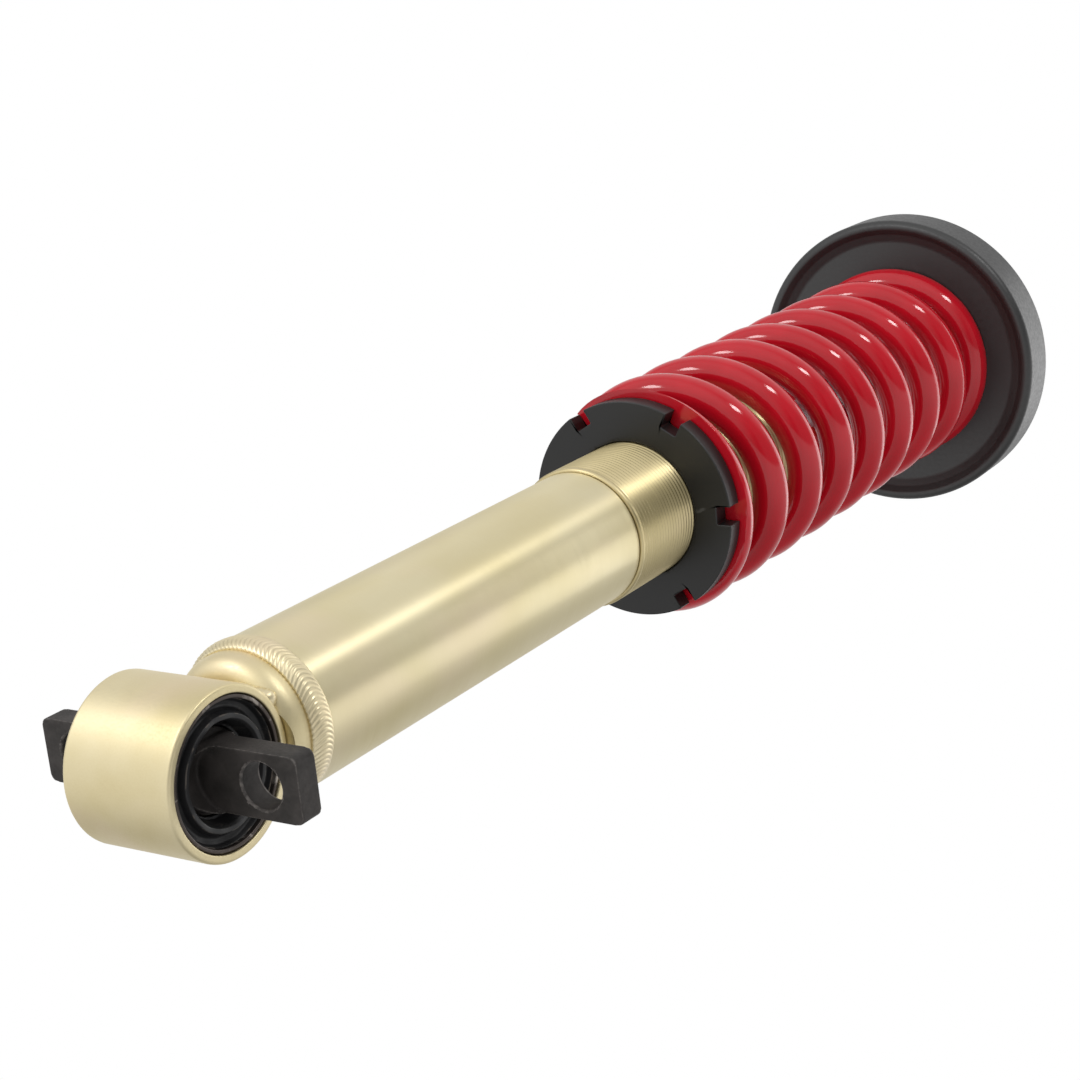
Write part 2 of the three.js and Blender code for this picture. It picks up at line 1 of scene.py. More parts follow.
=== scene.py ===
"""Looks of the coilover strut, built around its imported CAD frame.

Sizes are in millimetres. Lengths along the strut are stations, counted up from the centre of the lower
eye, as in the CAD part. The mesh helpers turn them into metres in the row frame.
"""

import math

import bmesh
import bpy
import numpy as np
from mathutils import Matrix, Vector


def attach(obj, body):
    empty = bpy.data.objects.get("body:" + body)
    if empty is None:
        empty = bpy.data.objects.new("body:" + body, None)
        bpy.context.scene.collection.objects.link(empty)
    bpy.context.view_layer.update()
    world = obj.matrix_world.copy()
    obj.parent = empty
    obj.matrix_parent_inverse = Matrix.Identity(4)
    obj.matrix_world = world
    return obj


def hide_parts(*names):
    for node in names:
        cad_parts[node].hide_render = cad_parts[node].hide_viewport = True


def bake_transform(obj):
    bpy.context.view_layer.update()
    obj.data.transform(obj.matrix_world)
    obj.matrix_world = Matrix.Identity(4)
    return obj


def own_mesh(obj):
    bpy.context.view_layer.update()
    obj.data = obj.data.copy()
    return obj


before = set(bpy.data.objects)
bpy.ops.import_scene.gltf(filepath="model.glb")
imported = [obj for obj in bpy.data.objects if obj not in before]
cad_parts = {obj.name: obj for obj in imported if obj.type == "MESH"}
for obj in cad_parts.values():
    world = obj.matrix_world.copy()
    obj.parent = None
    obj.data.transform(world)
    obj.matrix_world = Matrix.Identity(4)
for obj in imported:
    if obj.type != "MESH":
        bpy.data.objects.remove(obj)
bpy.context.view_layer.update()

MM = 0.001
GAP = 0.3  # clearance between neighbouring pieces
EYE_TO_MOUNT = 540

TUBE_RADIUS = 25.4
BORE_RADIUS = 22
UNDER_SLEEVE_RADIUS = 24
SLEEVE_RADIUS = 26.6
SLEEVE_START = 222
SLEEVE_END = 346
TUBE_START = 38.2
TUBE_END = 340
THREAD_PITCH = 2

EYE_RADIUS = 25.35
EYE_HALF_WIDTH = 19.65
BUSH_RADIUS = 22.4
BUSH_WALL = 1.3
PIN_BARREL_RADIUS = 12.6
TAB_HALF_HEIGHT = 10
TAB_HALF_THICKNESS = 4.1
TAB_END = 47.3
TAB_HOLE_RADIUS = 7.15
TAB_HOLE_OFFSET = 34
FLAT_ROOT = 21.3  # centre of the half-round inner end of each flat

COLLAR_FACE = 260.8
COLLAR_BACK = 268
COLLAR_RADIUS = 42.3
PILOT_RADIUS = 31.2
NOTCHES = 6
NOTCH_WIDTH = 7
NOTCH_DEPTH = 6
NOTCH_FILLET = 0.7
SCREW_ANGLE = math.radians(150)
WASHER_RADIUS = 35.2
WASHER_THICKNESS = 1
WASHER_PROUD = 0.3

WIRE_RADIUS = 7
SPRING_RADIUS = 38.8
SPRING_TURNS = 8.792
SPRING_FIRST_ANGLE = math.radians(-125)
SPRING_START = 266.67
CLOSED_PITCH = 11
OPEN_PITCH = 31.5
OPENS_AT = 0.396
CLOSES_AT = 8.146
PITCH_EASE = 0.05
TIP_DROP = 3.6
TIP_REACH = 0.1
SPRING_FOOT = 268.6
SPRING_TOP = 518.2

PAN_FACE = 518.5
PAN_RADIUS = 68.2
PAN_TOP = 536.2
PAN_WALL = 3
STUD_ANGLES = (30, 150, 270)
STUD_CIRCLE_RADIUS = 47.5
STUD_RADIUS = 5
STUD_LENGTH = 24
PLATE_THICKNESS = 5
SOCKET_RADIUS = 22
ROD_RADIUS = 7
ROD_END_RADIUS = 5

ROUND = 160  # sides of a large turned piece
SMALL_ROUND = 64


# ---------------- mesh helpers
def linked(name, data):
    """New object in the scene that shows the data."""
    thing = bpy.data.objects.new(name, data)
    bpy.context.scene.collection.objects.link(thing)
    return thing


def new_object(name, vertices, faces):
    """Mesh object from points in millimetres, with stations along Z."""
    points = np.asarray(vertices, float) - (0, 0, EYE_TO_MOUNT)
    mesh = bpy.data.meshes.new(name)
    mesh.from_pydata((points * MM).tolist(), [], faces)
    shape = bmesh.new()
    shape.from_mesh(mesh)
    bmesh.ops.remove_doubles(shape, verts=shape.verts, dist=1e-7)
    bmesh.ops.recalc_face_normals(shape, faces=shape.faces)
    shape.to_mesh(mesh)
    shape.free()
    return linked(name, mesh)


def grid_faces(rows, columns, close_rows, close_columns):
    """Quads over a grid of points that is stored row by row."""
    faces = []
    for row in range(rows if close_rows else rows - 1):
        after = (row + 1) % rows
        for column in range(columns if close_columns else columns - 1):
            beside = (column + 1) % columns
            faces.append((
                row * columns + column,
                row * columns + beside,
                after * columns + beside,
                after * columns + column,
            ))
    return faces


def rounded(profile, radius=0.3, steps=3, closed=True):
    """The profile with each corner rounded. A third number in a point is that corner's own radius."""
    smooth = []
    count = len(profile)
    for index, point in enumerate(profile):
        here = Vector(point[:2])
        reach = point[2] if len(point) > 2 else radius
        if reach == 0 or (not closed and index in (0, count - 1)):
            smooth.append(tuple(here))
            continue
        before = Vector(profile[index - 1][:2]) - here
        after = Vector(profile[(index + 1) % count][:2]) - here
        tangent = reach / math.tan(max(before.angle(after), 0.05) / 2)
        tangent = min(tangent, 0.45 * before.length, 0.45 * after.length)
        start = here + before.normalized() * tangent
        end = here + after.normalized() * tangent
        for step in range(steps + 1):
            t = step / steps
            smooth.append(tuple((1 - t) ** 2 * start + 2 * t * (1 - t) * here + t * t * end))
    return smooth


def arc(centre, radius, start, end, steps):
    """Points of an arc, with angles in degrees."""
    angles = [math.radians(start + (end - start) * step / steps) for step in range(steps + 1)]
    return [(centre[0] + radius * math.cos(a), centre[1] + radius * math.sin(a), 0) for a in angles]


def lathe(name, profile, sides=ROUND, closed=True, warp=None, along_x=False):
    """Turned mesh about the strut's axis, or about the eye's axis. The profile is (radius, place)."""
    points = np.array([point[:2] for point in profile], float)
    angle = np.linspace(0, 2 * math.pi, sides, endpoint=False)[:, None]
    radius = np.repeat(points[None, :, 0], sides, axis=0)
    place = np.repeat(points[None, :, 1], sides, axis=0)
    if warp:
        radius, place = warp(radius, place, angle)
    across, up = radius * np.cos(angle), radius * np.sin(angle)
    axes = (place, across, up) if along_x else (across, up, place)
    vertices = np.stack(axes, axis=-1).reshape(-1, 3)
    return new_object(name, vertices, grid_faces(sides, len(points), True, closed))


def drill(name, radius, start, end, sides, **more):
    """Plain round cutter."""
    return lathe(name, [(0, start), (radius, start), (radius, end), (0, end)], sides, closed=False, **more)


def ring(name, inner, outer, start, end, sides=ROUND, edge=0.3, **more):
    """Turned ring with rounded edges."""
    corners = [(inner, start), (outer, start), (outer, end), (inner, end)]
    return lathe(name, rounded(corners, edge), sides, **more)


def bake(thing):
    """Applies the object's modifiers to its mesh."""
    graph = bpy.context.evaluated_depsgraph_get()
    mesh = bpy.data.meshes.new_from_object(thing.evaluated_get(graph))
    thing.modifiers.clear()
    spent = thing.data
    thing.data = mesh
    bpy.data.meshes.remove(spent)
    return thing


def combine(thing, tool, operation="DIFFERENCE"):
    """Cuts the tool from the object, or joins or keeps what both fill."""
    modifier = thing.modifiers.new("combine", "BOOLEAN")
    modifier.operation = operation
    modifier.solver = "EXACT"
    modifier.object = tool
    bake(thing)
    bpy.data.objects.remove(tool)
    return thing


def merged(name, *things):
    """One object that holds the meshes of several, which are used up."""
    vertices, faces = [], []
    for thing in things:
        first = len(vertices)
        vertices += [tuple(vertex.co) for vertex in thing.data.vertices]
        faces += [tuple(first + index for index in face.vertices) for face in thing.data.polygons]
        bpy.data.objects.remove(thing)
    mesh = bpy.data.meshes.new(name)
    mesh.from_pydata(vertices, [], faces)
    return linked(name, mesh)


def placed(thing, matrix):
    """Moves the mesh itself, so that the object stays at the origin."""
    thing.data.transform(matrix)
    return thing


def on_circle(radius, degrees):
    """Moves a piece out along +X to the radius, then round the strut's axis."""
    return Matrix.Rotation(math.radians(degrees), 4, "Z") @ Matrix.Translation((radius * MM, 0, 0))


def prism(name, outline, start, end):
    """Outline of (x, y) points extruded between two stations."""
    count = len(outline)
    vertices = [(x, y, start) for x, y in outline] + [(x, y, end) for x, y in outline]
    faces = [tuple(range(count)), tuple(range(count, 2 * count))]
    for index in range(count):
        after = (index + 1) % count
        faces.append((index, after, count + after, count + index))
    return new_object(name, vertices, faces)


def hexagon(across_flats):
    """Corners of a hexagon, the first of them on +X."""
    return [(x, y) for x, y, _ in arc((0, 0), across_flats / math.sqrt(3), 0, 300, 5)]


def box(name, low, high):
    """Block between two corners, used as a cutter."""
    outline = [(low[0], low[1]), (high[0], low[1]), (high[0], high[1]), (low[0], high[1])]
    return prism(name, outline, low[2], high[2])


def dress(thing, body, finish, slot, *nodes, sharp=35, weighted=True):
    """Gives a piece its finish, hides the CAD nodes that it stands for and lets it ride on its body."""
    thing.data.materials.clear()
    thing.data.materials.append(finish)
    thing.data.polygons.foreach_set("use_smooth", [True] * len(thing.data.polygons))
    thing.data.set_sharp_from_angle(angle=math.radians(sharp))
    if weighted:
        modifier = thing.modifiers.new("normals", "WEIGHTED_NORMAL")
        modifier.keep_sharp = True
    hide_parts(*nodes)
    if body:
        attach(thing, body)
    return thing


# ---------------- material helpers
def add_node(tree, kind, **inputs):
    """New shader node. Each input is a value or another node's output, and _ in its name is a space."""
    node = tree.nodes.new("ShaderNode" + kind)
    for name, value in inputs.items():
        socket = node.inputs[name.replace("_", " ")]
        if isinstance(value, bpy.types.NodeSocket):
            tree.links.new(value, socket)
        else:
            socket.default_value = value
    return node


class Finish:
    """One node material: a Principled shader and the textures that drive it."""

    def __init__(self, name, color, metallic=0.0, roughness=0.5, **sockets):
        self.material = bpy.data.materials.new(name)
        self.material.use_nodes = True
        self.tree = self.material.node_tree
        self.shader = self.tree.nodes["Principled BSDF"]
        self.place = self.node("TexCoord").outputs["Object"]
        self.normal = None
        self.set("Base Color", (*color, 1))
        self.set("Metallic", metallic)
        self.set("Roughness", roughness)
        for socket, value in sockets.items():
            self.set(socket.replace("_", " "), value)

    def set(self, socket, value):
        self.shader.inputs[socket].default_value = value

    def drive(self, socket, source):
        self.tree.links.new(source, self.shader.inputs[socket])

    def node(self, kind, **inputs):
        return add_node(self.tree, kind, **inputs)

    def stretched(self, stretch):
        return self.node("Mapping", Vector=self.place, Scale=stretch).outputs["Vector"]

    def noise(self, scale, detail=3.0, stretch=(1, 1, 1), distortion=0.0):
        """Noise over the surface. scale is in features per metre."""
        place = self.stretched(stretch)
        node = self.node("TexNoise", Vector=place, Scale=scale, Detail=detail, Distortion=distortion)
        return node.outputs[0]

    def pits(self, scale):
        """Distance to the nearest of many scattered points."""
        return self.node("TexVoronoi", Vector=self.stretched((1, 1, 1)), Scale=scale).outputs["Distance"]

    def turning(self, scale):
        """Fine rings round the strut's axis, as a lathe tool leaves them, on faces and cylinders alike."""
        radius = self.node("VectorMath", Vector=self.stretched((1, 1, 0)))
        radius.operation = "LENGTH"
        height = self.node("VectorMath", Vector=self.place)
        height.operation = "DOT_PRODUCT"
        height.inputs[1].default_value = (0, 0, 1)
        total = self.math("ADD", radius.outputs["Value"], height.outputs["Value"])
        node = self.node("TexNoise", Scale=scale, Detail=4.0)
        node.noise_dimensions = "1D"
        self.tree.links.new(total, node.inputs["W"])
        return node.outputs[0]

    def math(self, operation, first, second):
        node = self.node("Math")
        node.operation = operation
        for socket, value in zip(node.inputs, (first, second)):
            if isinstance(value, (int, float)):
                socket.default_value = value
            else:
                self.tree.links.new(value, socket)
        return node.outputs[0]

    def span(self, source, low, high, out_low, out_high):
        """Maps a source's range to another range."""
        limits = {"From_Min": low, "From_Max": high, "To_Min": out_low, "To_Max": out_high}
        return self.node("MapRange", Value=source, **limits).outputs["Result"]

    def patches(self, source):
        """Spreads a noise so that it reaches 0 and 1."""
        return self.span(source, 0.35, 0.7, 0, 1)

    def rough(self, source, low, high):
        """Lets a noise move the roughness between two values."""
        self.drive("Roughness", self.span(source, 0.3, 0.7, low, high))

    def blend(self, factor, first, second):
        """Mixes two colours, each a colour or another node's output."""
        node = self.node("Mix", Factor=factor)
        node.data_type = "RGBA"
        for socket, value in ((node.inputs[6], first), (node.inputs[7], second)):
            if isinstance(value, tuple):
                socket.default_value = (*value, 1)
            else:
                self.tree.links.new(value, socket)
        return node.outputs[2]

    def tint(self, factor, first, second):
        """Colours the surface with a mix of two colours."""
        self.drive("Base Color", self.blend(factor, first, second))

    def bump(self, height, strength, distance):
        """Adds a bump on top of those already there. distance is in millimetres."""
        node = self.node("Bump", Height=height, Strength=strength, Distance=distance * MM)
        if self.normal:
            self.tree.links.new(self.normal, node.inputs["Normal"])
        self.normal = node.outputs["Normal"]
        self.drive("Normal", self.normal)

    def radial_tangent(self):
        """Tangents that run round the strut's axis, for brushed anisotropy."""
        node = self.node("Tangent")
        node.direction_type = "RADIAL"
        node.axis = "Z"
        self.drive("Tangent", node.outputs["Tangent"])

    def edges(self, low, high):
        """1 on worn outer edges, 0 elsewhere."""
        return self.span(self.node("NewGeometry").outputs["Pointiness"], low, high, 0, 1)


# ---------------- materials
def zinc_tints(finish, deep, pale, blush):
    """Passivated zinc: patches of straw, pale gold and a faint pink blush."""
    patches = finish.span(finish.noise(38, 3, (1, 1, 0.35)), 0.35, 0.68, 0, 1)
    bloom = finish.span(finish.noise(22, 2, (1, 1, 0.5), 0.6), 0.52, 0.75, 0, 0.55)
    finish.tint(bloom, finish.blend(patches, deep, pale), blush)


def brushed_gold():
    finish = Finish(
        "gold_brushed", (0.78, 0.69, 0.46), 1.0, 0.36, Anisotropic=0.8, Anisotropic_Rotation=0.25
    )
    zinc_tints(finish, (0.7, 0.61, 0.36), (0.76, 0.68, 0.45), (0.8, 0.675, 0.5))
    strokes = finish.noise(1, 4, (70, 70, 3600))
    finish.rough(strokes, 0.31, 0.42)
    finish.bump(strokes, 0.09, 0.01)
    finish.bump(finish.noise(1, 4, (26, 26, 950)), 0.16, 0.03)
    finish.bump(finish.noise(900, 2), 0.05, 0.01)
    finish.radial_tangent()
    return finish.material


def grained_gold():
    finish = Finish("gold_grained", (0.78, 0.69, 0.46), 1.0, 0.48)
    zinc_tints(finish, (0.7, 0.605, 0.36), (0.77, 0.68, 0.45), (0.81, 0.675, 0.5))
    grain = finish.noise(1500, 4)
    finish.rough(grain, 0.42, 0.56)
    finish.bump(grain, 0.22, 0.02)
    specks = finish.span(finish.pits(420), 0.0, 0.1, 1, 0)
    finish.bump(finish.math("MULTIPLY", specks, -1), 0.35, 0.03)
    return finish.material


def weld_gold():
    finish = Finish("gold_weld", (0.76, 0.66, 0.44), 1.0, 0.4)
    zinc_tints(finish, (0.7, 0.6, 0.38), (0.8, 0.71, 0.48), (0.84, 0.70, 0.54))
    grain = finish.noise(1300, 3)
    finish.rough(grain, 0.36, 0.48)
    finish.bump(grain, 0.08, 0.02)
    return finish.material


def thread_gold():
    finish = Finish(
        "gold_thread", (0.72, 0.62, 0.38), 1.0, 0.32, Anisotropic=0.5, Anisotropic_Rotation=0.25
    )
    zinc_tints(finish, (0.56, 0.47, 0.25), (0.66, 0.56, 0.33), (0.7, 0.56, 0.38))
    strokes = finish.noise(1, 4, (60, 60, 5200))
    finish.rough(strokes, 0.32, 0.44)
    finish.bump(strokes, 0.08, 0.008)
    finish.radial_tangent()
    return finish.material


def anodised():
    dye, worn = (0.008, 0.008, 0.008), (0.05, 0.05, 0.05)
    finish = Finish("anodised_black", dye, 0.2, 0.4, Specular_IOR_Level=0.6)
    lines = finish.turning(7600)
    finish.rough(lines, 0.37, 0.48)
    finish.tint(finish.edges(0.52, 0.6), dye, worn)
    finish.bump(lines, 0.1, 0.008)
    finish.bump(finish.noise(1400, 2), 0.06, 0.01)
    return finish.material


def red_powder():
    finish = Finish(
        "powder_red", (0.55, 0.005, 0.02), 0.0, 0.45, Specular_IOR_Level=0.0,
        Coat_Weight=1.0, Coat_Roughness=0.1, Coat_IOR=1.5,
    )
    shade = finish.patches(finish.noise(60, 3))
    finish.tint(shade, (0.47, 0.005, 0.014), (0.53, 0.007, 0.018))
    peel = finish.noise(420, 2)
    depth = 0.03
    finish.bump(peel, 0.1, depth)
    coat = finish.node("Bump", Height=peel, Strength=0.08, Distance=depth * MM)
    finish.drive("Coat Normal", coat.outputs["Normal"])
    return finish.material


def black_powder():
    finish = Finish("powder_black", (0.006, 0.006, 0.006), 0.0, 0.46, Specular_IOR_Level=0.85)
    blotch = finish.patches(finish.noise(26, 4))
    finish.tint(blotch, (0.004, 0.004, 0.004), (0.008, 0.008, 0.008))
    peel = finish.noise(700, 3)
    finish.rough(peel, 0.4, 0.52)
    finish.bump(peel, 0.14, 0.03)
    return finish.material


def forged():
    finish = Finish("steel_forged", (0.04, 0.036, 0.033), 0.15, 0.62, Specular_IOR_Level=0.35)
    cloud = finish.patches(finish.noise(160, 5, (1, 1, 1), 0.4))
    skin = finish.blend(cloud, (0.026, 0.023, 0.021), (0.048, 0.042, 0.039))
    rubbed = finish.span(finish.noise(500, 4), 0.4, 0.6, 0.2, 1)
    worn = finish.math("MULTIPLY", finish.edges(0.52, 0.57), rubbed)
    finish.tint(worn, skin, (0.16, 0.145, 0.135))
    finish.rough(finish.noise(900, 4), 0.55, 0.72)
    finish.bump(finish.noise(220, 5), 0.14, 0.08)
    finish.bump(finish.noise(1600, 3), 0.14, 0.03)
    return finish.material


def scuffed_sleeve():
    finish = Finish("steel_scuffed", (0.1, 0.09, 0.085), 0.8, 0.38)
    scuffs = finish.span(finish.noise(150, 6, (1, 1, 1), 1.5), 0.55, 0.7, 0, 1)
    finish.tint(scuffs, (0.075, 0.062, 0.055), (0.42, 0.38, 0.34))
    finish.bump(finish.noise(700, 3), 0.2, 0.04)
    return finish.material


def rubber():
    finish = Finish("rubber_black", (0.011, 0.011, 0.012), 0.0, 0.5, Specular_IOR_Level=0.42)
    dust = finish.span(finish.noise(340, 6, (1, 1, 1), 0.8), 0.6, 0.76, 0, 1)
    rubbed = finish.span(finish.noise(260, 5), 0.5, 0.6, 0, 1)
    worn = finish.math("MULTIPLY", finish.edges(0.515, 0.55), rubbed)
    dusty = finish.blend(dust, (0.009, 0.009, 0.01), (0.045, 0.04, 0.036))
    finish.tint(worn, dusty, (0.15, 0.125, 0.1))
    finish.drive("Roughness", finish.span(finish.noise(120, 4), 0.35, 0.7, 0.38, 0.62))
    finish.bump(finish.noise(520, 4), 0.2, 0.05)
    return finish.material


def metal(name, color, roughness, lines=3200, strength=0.08):
    finish = Finish(name, color, 1.0, roughness)
    rings = finish.turning(lines)
    finish.rough(rings, roughness - 0.05, roughness + 0.07)
    tint = finish.patches(finish.noise(90, 3))
    darker = tuple(0.88 * value for value in color)
    finish.tint(tint, darker, color)
    finish.bump(rings, strength, 0.008)
    return finish.material


def chrome():
    finish = Finish("chrome_hard", (0.34, 0.34, 0.35), 1.0, 0.3)
    finish.rough(finish.noise(1, 3, (90, 90, 3000)), 0.25, 0.36)
    finish.bump(finish.noise(1, 3, (90, 90, 4200)), 0.03, 0.004)
    return finish.material


def polymer():
    finish = Finish("polymer_filled", (0.12, 0.075, 0.035), 0.0, 0.5)
    flecks = finish.span(finish.noise(900, 4), 0.45, 0.65, 0, 1)
    finish.tint(flecks, (0.09, 0.055, 0.026), (0.17, 0.11, 0.05))
    finish.bump(finish.noise(1100, 3), 0.1, 0.02)
    return finish.material


def foam():
    finish = Finish("foam_bump_stop", (0.42, 0.22, 0.045), 0.0, 0.75, Sheen_Weight=0.2)
    cells = finish.pits(1500)
    tint = finish.patches(finish.noise(120, 4))
    finish.tint(tint, (0.34, 0.17, 0.03), (0.5, 0.28, 0.06))
    finish.bump(cells, 0.3, 0.1)
    return finish.material


GOLD_BRUSHED = brushed_gold()
GOLD_GRAINED = grained_gold()
GOLD_WELD = weld_gold()
GOLD_THREAD = thread_gold()
ANODISED = anodised()
RED_POWDER = red_powder()
BLACK_POWDER = black_powder()
FORGED = forged()
SCUFFED = scuffed_sleeve()
RUBBER = rubber()
CHROME = chrome()
BRIGHT = metal("steel_bright", (0.55, 0.55, 0.56), 0.28)
PLATED = metal("steel_plated", (0.46, 0.46, 0.48), 0.34)
ALUMINIUM = metal("aluminium_turned", (0.62, 0.63, 0.64), 0.32)
POLYMER = polymer()
FOAM = foam()


# ---------------- threads and welds
def threaded_bar(name, inner, radius, start, end, pitch, depth, sides, plain=0.0):
    """Bar or tube with a rolled helical thread outside. plain is the length left smooth at the foot."""
    rows_per_pitch = 10
    steepness, flat_crest = 1.35, 0.2
    run_out = 0.8
    chamfer = 0.5
    count = int((end - start) / pitch * rows_per_pitch)
    stations = [start + (end - start) * row / count for row in range(count + 1)]
    outside = [(radius, station) for station in stations]
    profile = [(inner, start)] + outside + [(inner, end)]

    def cut_thread(radii, places, angle):
        turn = places / pitch - angle / (2 * math.pi)
        wave = np.abs(2 * (turn - np.floor(turn)) - 1)
        groove = depth * np.clip(steepness * wave - flat_crest, 0, 1)
        fade = np.clip((places - start - plain) / run_out, 0, 1) * np.clip((end - places) / run_out, 0, 1)
        from_end = np.minimum(places - start, end - places)
        turned = radii - groove * fade - np.clip(chamfer - from_end, 0, chamfer)
        return np.where(radii == radius, turned, radii), places + 0 * angle

    return lathe(name, profile, sides, closed=inner > 0, warp=cut_thread)


def ripple(along, across, pitch, reach):
    """Height from 0 to 1 of overlapping weld puddles. Their crests bow forward by reach at mid-bead."""
    lean = 0.8
    unevenness = 0.07
    golden_angle = 2.399
    phase = (along + reach * (1 - across**2)) / pitch
    puddle = np.floor(phase)
    crest = np.sin(math.pi * (phase - puddle) ** lean)
    return crest * (1 - unevenness + unevenness * np.sin(golden_angle * puddle))


# ---------------- lower eye, bush and bar pin
def build_eye():
    """Rolled eye and the thin steel sleeve that is pressed into it."""
    bore = BUSH_RADIUS + GAP
    half = EYE_HALF_WIDTH
    edge = 1.1
    corners = [(bore, -half), (EYE_RADIUS, -half, edge), (EYE_RADIUS, half, edge), (bore, half)]
    eye = lathe("lower_eye_fine", rounded(corners, 0.5, 4), along_x=True)
    dress(eye, "barrel", GOLD_GRAINED, "gold_zinc", "lower_eye")

    inner = BUSH_RADIUS - BUSH_WALL
    reach = half - 0.4
    cut_back = 0.15

    def dented(radii, places, angle):
        dent = 0.1 * np.sin(3 * angle + 0.7) + 0.06 * np.sin(11 * angle)
        return radii, places + np.sign(places) * (dent - cut_back)

    corners = [(inner, -reach), (BUSH_RADIUS, -reach), (BUSH_RADIUS, reach), (inner, reach)]
    sleeve = lathe("bush_outer_sleeve_fine", rounded(corners, 0.45), warp=dented, along_x=True)
    dress(sleeve, "barrel", SCUFFED, "forged_steel", "bush_outer_sleeve")


def build_bush():
    """Rubber with a raised ring on each face, between the outer sleeve and the bar pin."""
    outer = BUSH_RADIUS - BUSH_WALL - 0.05
    inner = PIN_BARREL_RADIUS + GAP
    face = [
        (inner, 13, 0.3), (13.6, 13.4, 0.6), (14.9, 17.4, 0.8), (15.5, 18.4, 0.4), (16.9, 18.5, 0.5),
        (17.6, 16.2, 0.8), (18.6, 15.2, 0.9), (20.2, 15.9, 0.7), (outer, 18.2, 0.3),
    ]
    mirrored = [(radius, -place, fillet) for radius, place, fillet in face]
    profile = rounded(mirrored + face[::-1], 0.5, 4)
    margin = 0.5

    def uneven(radii, places, angle):
        swell = 0.12 * np.sin(5 * angle + 1) + 0.08 * np.sin(13 * angle)
        inside = (radii > inner + margin) & (radii < outer - margin)
        return radii, places + np.sign(places) * swell * inside

    bush = lathe("bush_rubber_fine", profile, warp=uneven, along_x=True)
    dress(bush, "barrel", RUBBER, "black_rubber", "bush_rubber", weighted=False)


def tab_hole_cutter(side):
    """Bolt hole through a tab, with a light chamfer on each face."""
    face = TAB_HALF_THICKNESS
    radius = TAB_HOLE_RADIUS
    chamfer = 0.35
    beyond = 2
    half = [(radius + chamfer + beyond, face + beyond), (radius + chamfer, face)]
    half += [(radius, station) for station in np.linspace(face - chamfer, 0.4, 6)]
    mirrored = [(r, -place) for r, place in half]
    profile = [(0, -face - beyond)] + mirrored + half[::-1] + [(0, face + beyond)]
    cutter = lathe("hole_cutter", profile, 72, closed=False)
    return placed(cutter, Matrix.Translation(Vector((side * TAB_HOLE_OFFSET, 0, 0)) * MM))


def coin_flats(thing):
    """Cuts away the metal above and below each tab. A flat ends inwards in a half round."""
    root_radius = TAB_HALF_HEIGHT + 0.2
    wide = 1.4 * TAB_HALF_HEIGHT
    deep = 2 * PIN_BARREL_RADIUS
    for side in (-1, 1):
        bow = arc((FLAT_ROOT, 0), root_radius, 90, 270, 24)
        half_round = [(side * x, y) for x, y, _ in bow]
        outline = half_round + [(side * 2 * TAB_END, -wide), (side * 2 * TAB_END, wide)]
        for low, high in ((TAB_HALF_THICKNESS, deep), (-deep, -TAB_HALF_THICKNESS)):
            combine(thing, prism("flat", outline, low, high))


def build_bar_pin():
    """Round middle that runs out into two coined tabs."""
    shoulder = 13
    neck = 10.9
    core = PIN_BARREL_RADIUS - 0.2
    core_end = shoulder - 2
    sides = 96
    middle = lathe("middle", rounded([
        (0, -shoulder), (PIN_BARREL_RADIUS, -shoulder, 1), (PIN_BARREL_RADIUS, shoulder, 1), (0, shoulder),
    ], 0.5, 3, closed=False), sides, closed=False, along_x=True)
    taper = lathe("taper", [
        (0, -FLAT_ROOT), (neck, -FLAT_ROOT), (core, -core_end), (core, core_end), (neck, FLAT_ROOT),
        (0, FLAT_ROOT),
    ], sides, closed=False, along_x=True)
    width = TAB_HALF_HEIGHT
    far, high = FLAT_ROOT + 9, neck + 9
    combine(taper, box("trim", (-far, -width, -high), (far, width, high)), "INTERSECT")
    coin_flats(middle)
    coin_flats(taper)
    corner = 2.6
    oblong = [(-TAB_END, -width), (TAB_END, -width), (TAB_END, width), (-TAB_END, width)]
    tabs = prism("tabs", rounded(oblong, corner, 6), -TAB_HALF_THICKNESS, TAB_HALF_THICKNESS)
    pin = merged("bar_pin_fine", middle, taper, tabs)
    remesh = pin.modifiers.new("remesh", "REMESH")
    remesh.mode = "VOXEL"
    remesh.voxel_size = 0.4 * MM
    smooth = pin.modifiers.new("smooth", "SMOOTH")
    smooth.factor = 0.5
    smooth.iterations = 3
    bake(pin)
    for side in (-1, 1):
        combine(pin, tab_hole_cutter(side))
    dress(pin, "bar_pin_body", FORGED, "forged_steel", "bar_pin", weighted=False)


# ---------------- barrel
DOME_CORNER = (17, 29.2)
DOME_RADIUS = 6.5
NECK_RADIUS = 23.5


def build_base():
    """Domed closure of the tube, saddled on the eye, with a spigot up the bore."""
    corner = arc(DOME_CORNER, DOME_RADIUS, -90, 0, 14)
    shoulder = TUBE_START - GAP
    spigot = BORE_RADIUS - GAP
    spigot_end = 52
    well_radius, well_floor = 14, 40
    profile = [(0, DOME_CORNER[1] - DOME_RADIUS)] + corner + [
        (NECK_RADIUS, shoulder), (spigot, shoulder), (spigot, spigot_end), (well_radius, spigot_end),
        (well_radius, well_floor), (0, well_floor),
    ]
    cup = lathe("base_cup_fine", profile, closed=False)
    combine(cup, drill("saddle", EYE_RADIUS + 0.1, -40, 40, ROUND, along_x=True))
    dress(cup, "barrel", GOLD_GRAINED, "gold_zinc", "base_cup")


